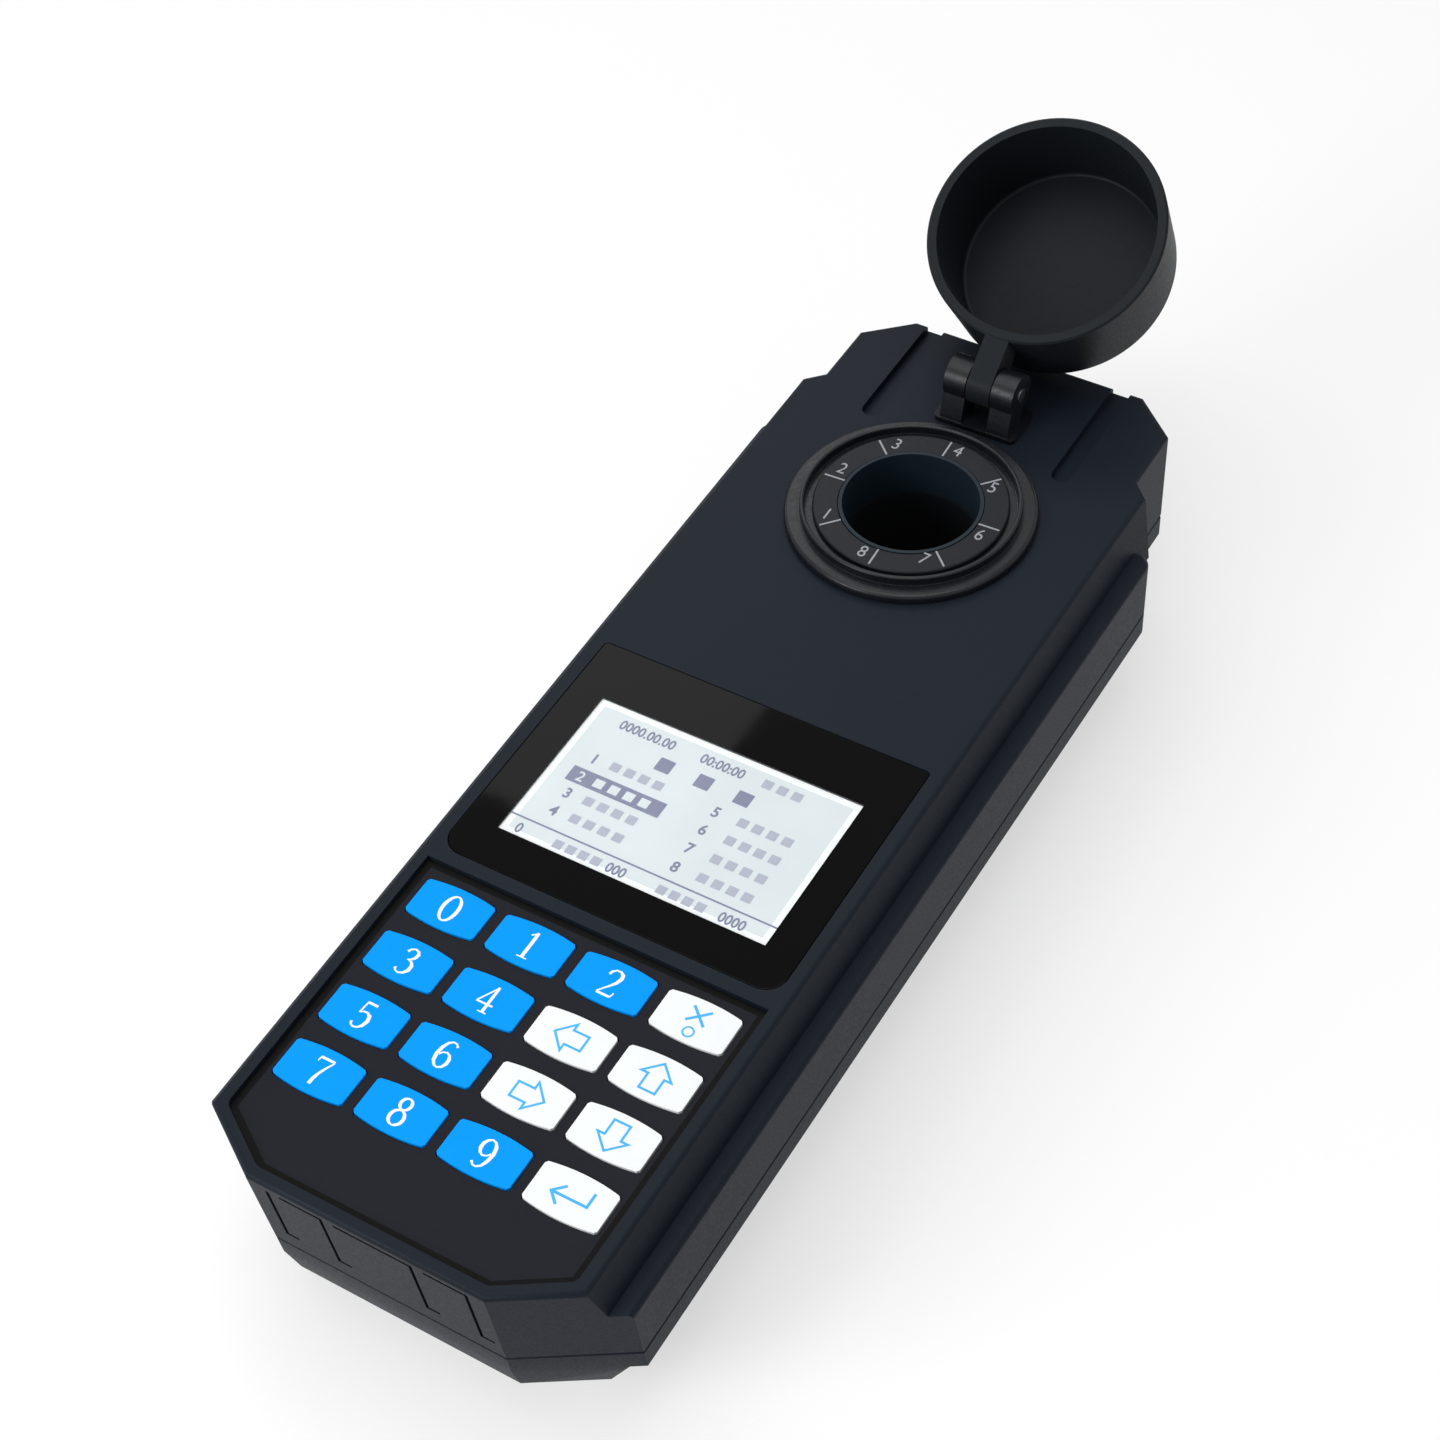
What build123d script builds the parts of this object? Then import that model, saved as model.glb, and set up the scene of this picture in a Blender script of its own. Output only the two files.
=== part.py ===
from build123d import *
from math import asin, atan, atan2, cos, degrees, hypot, radians, sin, tan
import os

# A handheld turbidity meter: a two-part housing with a screen and a keypad, a well
# for the sample vial behind them, and a cup-shaped light cover hinged behind the well.
# Sizes are in millimetres. The origin is where the axis of the well crosses the flat
# deck, with +X to the user's right, +Y to the rear and +Z up.

# Heights from the deck down
DECK = 0.0
BODY_HEIGHT = 44.0
FOOT_HEIGHT = 2.0
LEDGE_DROP = 8.0
SPLIT_DROP = 21.5
STRIP_HEIGHT = 5.0
LEDGE = DECK - LEDGE_DROP
SPLIT = DECK - SPLIT_DROP
STRIP = SPLIT - STRIP_HEIGHT
BELLY = DECK - BODY_HEIGHT
BENCH = BELLY - FOOT_HEIGHT

# Body seen from above
BODY_FRONT = 177.8
BODY_REAR = 49.6
FRONT_FLAT = 22.4
FRONT_CHAMFER = 32.0
FRONT_LEAN = 2.0
DECK_HALF_FRONT = 35.4
DECK_HALF_REAR = 36.9
RISER_RUN = 1.9
LEDGE_WIDTH_FRONT = 3.3
LEDGE_WIDTH_REAR = 3.4
SHOULDER_END = 18.0
SHOULDER_ROUND = 2.8
SHOULDER_SHARE = 0.85
TAIL_STEP_START = 24.5
TAIL_HALF = 33.8
TAIL_CORNER = 7.8
TAIL_CORNER_WIDE = 8.8
BELLY_INSET = 4.6
BELLY_SIDE_INSET = 9.5
CHIN_RUN = 12.0
BELLY_MARGIN = 1.2
WALL = 2.2
DECK_WALL = 2.6
DECK_ROUND = 1.0
EDGE_ROUND = 1.2
PARTING_CHAMFER = 0.35

# Fits
SLIDE_GAP = 0.15
SEAT_GAP = 0.1
SHAFT_GAP = 0.04
SCREW_GAP = 0.2

# Screen
SCREEN_REAR = 55.2
SCREEN_LENGTH = 53.7
SCREEN_HALF = 33.2
SCREEN_THICK = 1.5
SCREEN_ROUND_FRONT = 4.0
SCREEN_ROUND_REAR = 0.8
VIEW_HALF = 26.2
VIEW_REAR = 67.6
VIEW_LENGTH = 33.7
LCD_MARGIN = 2.6
LCD_GLASS = 1.1
LCD_GLASS_EDGE = 0.8

# Keypad
KEYPAD_REAR = 111.7
KEYPAD_RIM = 2.3
KEYPAD_ROUND = 1.8
KEYPAD_DROP = 1.5
OVERLAY_THICK = 0.5
KEY_PITCH_X = 16.03
KEY_PITCH_Y = 12.38
KEY_FIRST_ROW = 119.0
KEY_WIDTH = 13.8
KEY_LENGTH = 8.7
KEY_BOW = 0.7
KEY_CORNER = 0.4
KEY_PROUD = 0.35
KEY_TRAVEL = 0.4
KEY_FLANGE = 0.55
KEY_FLANGE_THICK = 0.7
KEY_REST_GAP = 0.05
DOME_RADIUS = 4.0
DOME_CROWN = 1.6
DOME_HEIGHT = 0.6
DOME_SIDES = 8
KEY_NAMES = (
    ("key_0", "key_1", "key_2", "key_escape"),
    ("key_3", "key_4", "key_left", "key_up"),
    ("key_5", "key_6", "key_right", "key_down"),
    ("key_7", "key_8", "key_9", "key_enter"),
)

# Main board
BOARD_THICK = 1.6
BOARD_HALF = 29.8
BOARD_REAR = 58.0
BOARD_FRONT = 168.0
BOARD_CORNER = 6.0
BOARD_SCREW_X = 26.8
BOARD_SCREW_EDGE = 4.2
BOARD_POST_RADIUS = 2.0

# Well, collar and dial
BORE_RADIUS = 13.0
WELL_WALL = 2.0
WELL_RIM = 0.7
WELL_RIM_RISE = 0.1
WELL_STAND = 2.4
WELL_FLOOR = 1.4
WELL_FLANGE = 1.4
WELL_FLANGE_THICK = 1.0
COLLAR_RADIUS = 24.0
COLLAR_THICK = 1.9
COLLAR_EDGE = 0.9
COLLAR_NECK = 17.6
COLLAR_DEPTH = 6.0
RIDGE_GAP = 0.5
RIDGE_WIDTH = 0.9
RIDGE_EDGE = 0.25
RIDGE_TOP = 3.7
DIAL_RADIUS = 18.6
DIAL_THICK = 1.0
DIAL_BEVEL = 0.3
NUT_WIDTH = 3.6
NUT_THICK = 3.0
NUT_NOTCHES = 8
NUT_NOTCH = 2.4
RING_SECTION = 1.2
RING_RADIUS = 19.4

# Optics
BEAM_RADIUS = 2.0
BLOCK_WEB = 1.35
BLOCK_STAND = 3.8
BLOCK_HEIGHT = 18.0
BLOCK_CORNER = 4.0
BLOCK_POST_RADIUS = 3.0
LAMP_RADIUS = 2.5
SENSOR_RADIUS = 4.1
CAN_LENGTH = 3.4
CAN_FLANGE = 0.6
CAN_FLANGE_THICK = 0.8

# Light cover and hinge
COVER_RADIUS = 23.5
COVER_TOP_RADIUS = 22.4
COVER_WALL = 2.0
COVER_HEIGHT = 20.5
COVER_ROOF = 1.5
COVER_ROUND = 3.4
COVER_INNER_ROUND = 0.8
COVER_LIFT = 0.15
ARM_TOP = 8.0
COVER_EDGE = 0.4
HINGE_Y = 31.0
HINGE_RISE = 7.8
KNUCKLE_RADIUS = 4.2
KNUCKLE_WIDTH = 5.0
EAR_GAP = 0.2
EAR_THICK = 4.6
PIN_RADIUS = 1.5
PIN_PROUD = 0.3
BRACKET_BASE = 1.0
BRACKET_FRONT = 25.2
BRACKET_REAR = 34.8
BRACKET_MARGIN = 1.4
BRACKET_ROUND = 1.2
BRACKET_SCREW_SETBACK = 3.8
LEG_FRONT = 3.2
LEG_REAR = 2.4
OPEN_ANGLE = 150.0

# Rear channels and front panel lines
CHANNEL_X = 20.5
CHANNEL_WIDTH = 3.9
CHANNEL_DEPTH = 1.6
CHANNEL_START = 20.4
LINE_WIDTH = 0.7
LINE_DEPTH = 0.5
LINE_TOP = 2.3
LINE_LENGTH = 14.5
LINE_FOOT = 2.4
LINE_X = (-18.8, -8.5, 8.5, 18.8)

# Batteries
CELL_RADIUS = 7.15
CELL_LENGTH = 50.0
CELL_NUB_RADIUS = 2.6
CELL_NUB = 1.2
CELL_PITCH = 14.9
CELL_COUNT = 4
CELL_LIFT = 0.8
CELL_ROOM = 0.5
BAY_CENTRE = 108.0
BAY_WALL = 1.6
BAY_SIDE_ROOM = 3.0
CONTACT_THICK = 0.4
CONTACT_SIZE = 9.0
SPRING_RADIUS = 3.2
SPRING_SIDES = 8
DOOR_THICK = 2.0
DOOR_LIP = 1.6
DOOR_GAP = 0.2
DOOR_TAB = 7.6
DOOR_ROUND = 3.0
DOOR_BOSS_HEIGHT = 7.0
DOOR_MOUTH = 0.6

# Fasteners, posts and feet
CASE_SCREW_PLACES = ((34.6, -150.0), (34.8, -52.0), (28.0, 38.0))
CASE_SCREW_SHANK = 1.25
CASE_SCREW_HEAD = 2.4
CASE_SCREW_HEAD_THICK = 1.6
CASE_SCREW_SEAT = 7.0
CASE_SCREW_LENGTH = 12.0
POST_RADIUS = 3.3
POST_SIDES = 8
POST_WALL = 1.5
SMALL_SCREW_SHANK = 0.9
SMALL_SCREW_HEAD = 1.8
SMALL_SCREW_HEAD_THICK = 1.1
SCREW_SLOT = 0.5
BOARD_SCREW_LENGTH = 4.0
BRACKET_SCREW_LENGTH = 6.6
DOOR_SCREW_LENGTH = 6.0
PILOT_ROOM = 0.5
FOOT_RADIUS = 4.5
FOOT_SEAT = 1.0
FOOT_ROUND = 0.5
FOOT_PLACES = ((21.0, -155.0), (16.0, 28.0))

# Derived heights
KEYPAD_FLOOR = DECK - KEYPAD_DROP
KEYPAD_UNDER = KEYPAD_FLOOR - WALL
OVERLAY_TOP = KEYPAD_FLOOR + OVERLAY_THICK
KEY_TOP = OVERLAY_TOP + KEY_PROUD
KEY_SHOULDER = KEYPAD_UNDER - KEY_REST_GAP
KEY_UNDER = KEY_SHOULDER - KEY_FLANGE_THICK
BOARD_TOP = KEY_UNDER - KEY_TRAVEL - SEAT_GAP - DOME_HEIGHT
BOARD_UNDER = BOARD_TOP - BOARD_THICK
SCREEN_FLOOR = DECK - SCREEN_THICK - SEAT_GAP
LCD_TOP = SCREEN_FLOOR - SEAT_GAP
DECK_UNDER = DECK - DECK_WALL
COLLAR_TOP = DECK + COLLAR_THICK
DIAL_TOP = COLLAR_TOP + DIAL_THICK
WELL_TOP = DIAL_TOP + WELL_RIM_RISE
WELL_BOTTOM = BELLY + WALL + WELL_STAND + WELL_FLOOR
BLOCK_UNDER = BELLY + WALL + BLOCK_STAND
BEAM = BLOCK_UNDER + BLOCK_HEIGHT / 2
HINGE_Z = DECK + HINGE_RISE
SCREW_SEAT = SPLIT - CASE_SCREW_SEAT
DOOR_TOP = BELLY + DOOR_THICK
CELL_AXIS = DOOR_TOP + CELL_LIFT + CELL_RADIUS
BAY_ROOF = CELL_AXIS + CELL_RADIUS + CELL_ROOM

# Derived widths and radii
SIDE_HALF_FRONT = DECK_HALF_FRONT + RISER_RUN + LEDGE_WIDTH_FRONT
SIDE_HALF_REAR = DECK_HALF_REAR + RISER_RUN + LEDGE_WIDTH_REAR
WELL_OUTER = BORE_RADIUS + WELL_WALL
BLOCK_HALF = WELL_OUTER + SLIDE_GAP + BLOCK_WEB + SEAT_GAP + CAN_LENGTH
RIDGE_RADIUS = COVER_RADIUS - COVER_WALL - RIDGE_GAP
EAR_INNER = KNUCKLE_WIDTH / 2 + EAR_GAP
EAR_OUTER = EAR_INNER + EAR_THICK
BAY_HALF_X = CELL_LENGTH / 2 + BAY_SIDE_ROOM
BAY_HALF_Y = (CELL_COUNT - 1) * CELL_PITCH / 2 + CELL_RADIUS + CELL_ROOM
MOUTH_HALF_X = CELL_LENGTH / 2 + DOOR_MOUTH
DOOR_HALF_X = MOUTH_HALF_X + DOOR_LIP
DOOR_HALF_Y = BAY_HALF_Y + DOOR_TAB
DOOR_SCREW_Y = BAY_HALF_Y + BAY_WALL + (DOOR_TAB - BAY_WALL) / 2


def mirrored(points):
    """Close an outline from its right-hand points, listed from front to rear."""
    return list(points) + [(-x, y) for x, y in reversed(points)]


def both_sides(places):
    """Repeat places left and right."""
    return [(side * x, y) for x, y in places for side in (1, -1)]


def front_edge(z):
    """Y of the front wall at height z: it leans back towards the split line."""
    return -BODY_FRONT + FRONT_LEAN * (DECK - z) / SPLIT_DROP


def front_points(half, z=DECK, margin=0.0):
    """Front edge and chamfer of the body, out to the side wall at the given half width."""
    y = front_edge(z) + margin
    corner = FRONT_FLAT - margin * tan(radians(FRONT_CHAMFER / 2))
    return [(corner, y), (half, y + (half - corner) * tan(radians(FRONT_CHAMFER)))]


def step_place(half):
    """Where the slanting step into the tail stands at the given half width."""
    return half, TAIL_STEP_START + DECK_HALF_REAR - half


def tail_points(margin=0.0):
    """The narrower rear end of the body behind the shoulders."""
    half = TAIL_HALF - margin
    return [
        step_place(half),
        (half, BODY_REAR - TAIL_CORNER - margin / 2),
        (half - TAIL_CORNER_WIDE + margin / 2, BODY_REAR - margin),
    ]


def side_plan():
    """Outline of the body below the ledge."""
    neck = DECK_HALF_REAR + RISER_RUN
    shoulder = [(SIDE_HALF_REAR, SHOULDER_END), (neck, SHOULDER_END), step_place(neck)]
    return mirrored(front_points(SIDE_HALF_FRONT) + shoulder + tail_points())


def deck_block_plan():
    """Outline of the block that the raised deck is cut from."""
    return mirrored(front_points(SIDE_HALF_FRONT) + [step_place(SIDE_HALF_REAR)] + tail_points())


def deck_plan():
    """Outline of the flat deck ahead of the tail."""
    return mirrored(front_points(DECK_HALF_FRONT) + [(DECK_HALF_REAR, SHOULDER_END)])


def belly_plan():
    """Outline where the sloping belly starts under the side strip."""
    m = BELLY_MARGIN
    side = (SIDE_HALF_REAR - 2 * m, SHOULDER_END - SHOULDER_ROUND)
    return mirrored(front_points(SIDE_HALF_FRONT - 2 * m, STRIP) + [side] + tail_points(m))


def plate(points, z, grow=0.0):
    """A flat face at height z with the given outline, grown or shrunk."""
    face = make_face(Polyline(*points, close=True))
    if grow:
        face = offset(face, amount=grow, kind=Kind.INTERSECTION)
    return Pos(0, 0, z) * face


def prism(points, low, high, grow=0.0):
    """A vertical prism between two heights."""
    return extrude(plate(points, low, grow), amount=high - low)


def rod(radius, low, high, x=0.0, y=0.0):
    """A vertical round bar between two heights."""
    return Pos(x, y, (low + high) / 2) * Cylinder(radius, high - low)


def rods(places, radius, low, high):
    """Round bars at the given places."""
    return [rod(radius, low, high, x, y) for x, y in places]


def posts(places, radius, low, high):
    """Eight-sided posts at the given places."""
    face = RegularPolygon(radius, POST_SIDES)
    return [Pos(x, y, low) * extrude(face, amount=high - low) for x, y in places]


def cross_rod(radius, x0, x1, y, z):
    """A round bar along X between two places."""
    return Pos((x0 + x1) / 2, y, z) * Rot(0, 90, 0) * Cylinder(radius, x1 - x0)


def block(x0, x1, y0, y1, z0, z1):
    """A box between two corners."""
    return Pos((x0 + x1) / 2, (y0 + y1) / 2, (z0 + z1) / 2) * Box(x1 - x0, y1 - y0, z1 - z0)


def rounded_block(half_x, y0, y1, z0, z1, radius):
    """A box centred on X with round upright edges."""
    face = Pos(0, (y0 + y1) / 2, z0) * RectangleRounded(2 * half_x, y1 - y0, radius)
    return extrude(face, amount=z1 - z0)


def turned(points):
    """A body of revolution about the well's axis from an outline of radius and height."""
    return revolve(Plane.XZ * make_face(Polyline(*points, close=True)), Axis.Z)


def group(solids):
    """Separate solids kept together."""
    return Compound(children=list(solids))


def upright(edge, x, y, near=0.3):
    """Whether an edge stands at a place on either side."""
    ends = [edge.position_at(t) for t in (0, 1)]
    return all(hypot(abs(p.X) - x, p.Y - y) < near for p in ends)


def level(edge, z):
    """Whether an edge lies at height z."""
    return all(abs(edge.position_at(t).Z - z) < 0.01 for t in (0, 0.5, 1))


def beyond(point, along, down, depth=0.0):
    """Everything outside a plane through a point, spanned by two directions and moved inwards."""
    plane = Plane(origin=point, x_dir=along, z_dir=Vector(*along).cross(Vector(*down)))
    reach = 3 * BODY_FRONT
    return plane * Pos(0, 0, reach / 2 - depth) * Box(reach, reach, reach)


def front_trim(depth=0.0):
    """What lies outside the leaning front wall and its two chamfered walls."""
    lean = (0, FRONT_LEAN, -SPLIT_DROP)
    cut = [beyond((0, -BODY_FRONT, DECK), (-1, 0, 0), lean, depth)]
    for side in (1, -1):
        along = (-cos(radians(FRONT_CHAMFER)), -side * sin(radians(FRONT_CHAMFER)), 0)
        cut.append(beyond((side * FRONT_FLAT, -BODY_FRONT, DECK), along, lean, depth))
    return cut


def riser_trim(depth=0.0):
    """What lies outside the sloping side walls between the ledge and the deck."""
    cut = []
    for side in (1, -1):
        front = Vector(side * DECK_HALF_FRONT, front_points(DECK_HALF_FRONT)[1][1], DECK)
        rear = Vector(side * DECK_HALF_REAR, SHOULDER_END, DECK)
        along = (front - rear) * side
        cut.append(beyond(front, tuple(along), (side * RISER_RUN, 0, -LEDGE_DROP), depth))
    return cut


def side_walls(low, high):
    """The body below the ledge with its round shoulders."""
    body = prism(side_plan(), low, high) - front_trim()
    shoulders = body.edges().filter_by(lambda e: upright(e, SIDE_HALF_REAR, SHOULDER_END))
    body = fillet(shoulders, min(SHOULDER_ROUND, SHOULDER_SHARE * LEDGE_WIDTH_REAR))
    parting = body.edges().filter_by(lambda e: level(e, SPLIT))
    return chamfer(parting, PARTING_CHAMFER)


def raised_deck(depth=0.0):
    """The block under the deck, or with a depth the hollow inside it."""
    roof = DECK_UNDER if depth else DECK
    body = prism(deck_block_plan(), LEDGE - 2 * WALL, roof, -depth)
    return body - front_trim(depth) - riser_trim(depth)


def upper_outside():
    """Outside of the upper housing with its rounded edges."""
    skirt = side_walls(SPLIT, LEDGE)
    rim = DECK_HALF_REAR + RISER_RUN
    ledges = skirt.edges().filter_by(lambda e: level(e, LEDGE) and abs(e.center().X) > rim + 0.5)
    skirt = fillet(ledges, EDGE_ROUND)
    deck = raised_deck()
    deck = fillet(deck.edges().filter_by(lambda e: level(e, DECK)), DECK_ROUND)
    return skirt + deck


def screen_face(z, grow=0.0):
    """The screen opening: nearly square rear corners and rounder front ones."""
    front, rear = -SCREEN_REAR - SCREEN_LENGTH - grow, -SCREEN_REAR + grow
    half = SCREEN_HALF + grow
    face = Pos(0, (front + rear) / 2) * Rectangle(2 * half, rear - front)
    face = fillet(face.vertices().sort_by(Axis.Y)[:2], SCREEN_ROUND_FRONT + grow)
    return Pos(0, 0, z) * fillet(face.vertices().sort_by(Axis.Y)[-2:], SCREEN_ROUND_REAR + grow)


def view_block(grow, low, high):
    """A box over the part of the screen that shows the display."""
    rear = -VIEW_REAR
    front = rear - VIEW_LENGTH
    return block(-VIEW_HALF - grow, VIEW_HALF + grow, front - grow, rear + grow, low, high)


def keypad_face(z, grow=0.0):
    """The keypad recess: the deck outline inside its rim, cut off behind the keys."""
    face = plate(deck_plan(), 0, grow - KEYPAD_RIM)
    front = Pos(0, -KEYPAD_REAR + grow - BODY_FRONT / 2) * Rectangle(4 * DECK_HALF_REAR, BODY_FRONT)
    face &= front
    corners = face.vertices().sort_by(Axis.Y)[:4]
    return Pos(0, 0, z) * fillet(corners, KEYPAD_ROUND + grow)


def key_face(grow=0.0):
    """A key seen from above: straight sides, bowed front and rear edges, clipped corners."""
    half, tall = KEY_WIDTH / 2 + grow, KEY_LENGTH / 2 + grow
    side = tall - KEY_BOW
    outline = [
        Line((half, -side), (half, side)),
        ThreePointArc((half, side), (0, tall), (-half, side)),
        Line((-half, side), (-half, -side)),
        ThreePointArc((-half, -side), (0, -tall), (half, -side)),
    ]
    return chamfer(make_face(outline).vertices(), KEY_CORNER)


def key_places():
    """Name and centre of each key."""
    for row, names in enumerate(KEY_NAMES):
        for column, name in enumerate(names):
            yield name, (column - 1.5) * KEY_PITCH_X, -KEY_FIRST_ROW - row * KEY_PITCH_Y


def key_blocks(grow, low, high):
    """Blocks with the outline of the keys at each key's place."""
    face = key_face(grow)
    return [Pos(x, y, low) * extrude(face, amount=high - low) for _, x, y in key_places()]


def key_windows():
    """Plain openings in the keypad floor under the film."""
    half_x, half_y = KEY_WIDTH / 2 + SLIDE_GAP, KEY_LENGTH / 2 + SLIDE_GAP
    return [
        block(x - half_x, x + half_x, y - half_y, y + half_y, KEYPAD_UNDER - 1, DECK)
        for _, x, y in key_places()
    ]


def front_lines():
    """Thin grooves on the leaning front wall: three panel tops and four sides with a foot."""
    top = DECK - LINE_TOP
    low = top - LINE_LENGTH
    half = LINE_WIDTH / 2

    def groove(x0, x1, z0, z1):
        y0, y1 = front_edge(z0), front_edge(z1)
        points = [(y0 - 1, z0), (y0 + LINE_DEPTH, z0), (y1 + LINE_DEPTH, z1), (y1 - 1, z1)]
        face = Plane.YZ * make_face(Polyline(*points, close=True))
        return Pos(x0, 0, 0) * extrude(face, amount=x1 - x0)

    grooves = [groove(x - half, x + half, low, top) for x in LINE_X]
    grooves += [groove(x - half, x + LINE_FOOT, low - half, low + half) for x in LINE_X]
    grooves += [
        groove(left + LINE_FOOT, right + half, top - half, top + half)
        for left, right in zip(LINE_X, LINE_X[1:])
    ]
    return grooves


def channels():
    """The two open-ended channels that run to the rear edge beside the hinge."""
    length = BODY_REAR + CHANNEL_WIDTH - CHANNEL_START
    face = SlotOverall(length, CHANNEL_WIDTH, rotation=90)
    middle = CHANNEL_START + length / 2
    return [
        Pos(x, middle, DECK - CHANNEL_DEPTH) * extrude(face, amount=2 * CHANNEL_DEPTH)
        for x in (CHANNEL_X, -CHANNEL_X)
    ]


CASE_PLACES = both_sides(CASE_SCREW_PLACES)
BOARD_PLACES = both_sides((
    (BOARD_SCREW_X, -BOARD_FRONT + BOARD_SCREW_EDGE),
    (BOARD_SCREW_X, -(SCREEN_REAR + SCREEN_LENGTH + KEY_FIRST_ROW - KEY_LENGTH / 2) / 2),
    (BOARD_SCREW_X, -BOARD_REAR - BOARD_SCREW_EDGE),
))
BRACKET_PLACES = both_sides((
    ((EAR_INNER + EAR_OUTER) / 2, BRACKET_FRONT + BRACKET_SCREW_SETBACK),
))
DOOR_PLACES = [(0, -BAY_CENTRE + DOOR_SCREW_Y), (0, -BAY_CENTRE - DOOR_SCREW_Y)]
BLOCK_PLACES = [
    (x, y)
    for x in (BLOCK_CORNER - BLOCK_HALF, BLOCK_HALF - BLOCK_CORNER)
    for y in (BLOCK_CORNER - BLOCK_HALF, BLOCK_HALF - BLOCK_CORNER)
]
CELL_PLACES = [
    -BAY_CENTRE + (index - (CELL_COUNT - 1) / 2) * CELL_PITCH for index in range(CELL_COUNT)
]


def upper_housing():
    """Upper half of the housing: hollow, with its recesses, openings and screw posts."""
    outside = upper_outside()
    hollow = prism(side_plan(), SPLIT - 1, LEDGE - WALL, -WALL) - front_trim(WALL)
    body = outside - hollow - raised_deck(WALL)

    screen_floor = extrude(screen_face(SCREEN_FLOOR - WALL, WALL), amount=WALL)
    keypad_floor = extrude(keypad_face(KEYPAD_UNDER, WALL / 2), amount=WALL)
    case_posts = posts(CASE_PLACES, POST_RADIUS, SPLIT, DECK_UNDER + 0.5 * DECK_WALL)
    board_posts = posts(BOARD_PLACES, BOARD_POST_RADIUS, BOARD_TOP, DECK_UNDER)
    added = Part() + [screen_floor, keypad_floor, *case_posts, *board_posts]
    body += added & outside

    body -= extrude(screen_face(SCREEN_FLOOR, SLIDE_GAP), amount=2 * SCREEN_THICK)
    body -= view_block(LCD_MARGIN + SLIDE_GAP, SCREEN_FLOOR - 2 * WALL, DECK)
    body -= extrude(keypad_face(KEYPAD_FLOOR), amount=2 * KEYPAD_DROP)
    body -= key_windows()
    body -= rod(COLLAR_NECK + SLIDE_GAP, DECK_UNDER - WALL, DECK + 1)
    body -= channels() + front_lines()

    bite = CASE_SCREW_LENGTH - CASE_SCREW_SEAT + PILOT_ROOM
    board_bite = BOARD_SCREW_LENGTH - BOARD_THICK + PILOT_ROOM
    body -= rods(CASE_PLACES, CASE_SCREW_SHANK + SHAFT_GAP, SPLIT, SPLIT + bite)
    body -= rods(BOARD_PLACES, SMALL_SCREW_SHANK + SHAFT_GAP, BOARD_TOP, BOARD_TOP + board_bite)
    body -= rods(BRACKET_PLACES, SMALL_SCREW_SHANK + SCREW_GAP, DECK_UNDER, DECK)
    return body


def chin_trim(depth=0.0):
    """What lies outside the slanted chin under the front wall and its chamfered walls."""
    y = front_edge(STRIP)
    cut = [beyond((0, y + CHIN_RUN, BELLY), (-1, 0, 0), (0, 1, -1), depth)]
    across, back = sin(radians(FRONT_CHAMFER)), cos(radians(FRONT_CHAMFER))
    for side in (1, -1):
        foot = (side * (FRONT_FLAT - across * CHIN_RUN), y + back * CHIN_RUN, BELLY)
        down = (-side * across, back, -1)
        cut.append(beyond(foot, (-back, -side * across, 0), down, depth))
    return cut


def belly_trim(depth=0.0):
    """What lies outside the steeper flanks of the belly."""
    half = SIDE_HALF_FRONT - 2 * BELLY_MARGIN
    rear_half = SIDE_HALF_REAR - 2 * BELLY_MARGIN
    cut = []
    for side in (1, -1):
        front = Vector(side * half, front_points(half, STRIP)[1][1], STRIP)
        rear = Vector(side * rear_half, SHOULDER_END - SHOULDER_ROUND, STRIP)
        down = (-side * BELLY_SIDE_INSET, 0, BELLY - STRIP)
        cut.append(beyond(front, tuple((front - rear) * side), down, depth))
    return cut


def belly(depth=0.0):
    """The tapered belly, or with a depth its inside."""
    drop = STRIP - BELLY
    slope = degrees(atan(BELLY_INSET / drop))
    face = plate(belly_plan(), STRIP, -depth)
    body = extrude(face, amount=drop - depth, dir=(0, 0, -1), taper=slope)
    return body - belly_trim(depth) - chin_trim(depth)


def door_seat(grow=0.0):
    """The seat of the battery door, or with a shrink the door itself."""
    y0, y1 = -BAY_CENTRE - DOOR_HALF_Y - grow, -BAY_CENTRE + DOOR_HALF_Y + grow
    return rounded_block(DOOR_HALF_X + grow, y0, y1, BELLY, DOOR_TOP, DOOR_ROUND)


def bay_block(grow, low, high):
    """The battery bay with its walls grown outwards."""
    half_x, half_y = BAY_HALF_X + grow, BAY_HALF_Y + grow
    return block(-half_x, half_x, -BAY_CENTRE - half_y, -BAY_CENTRE + half_y, low, high)


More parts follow.
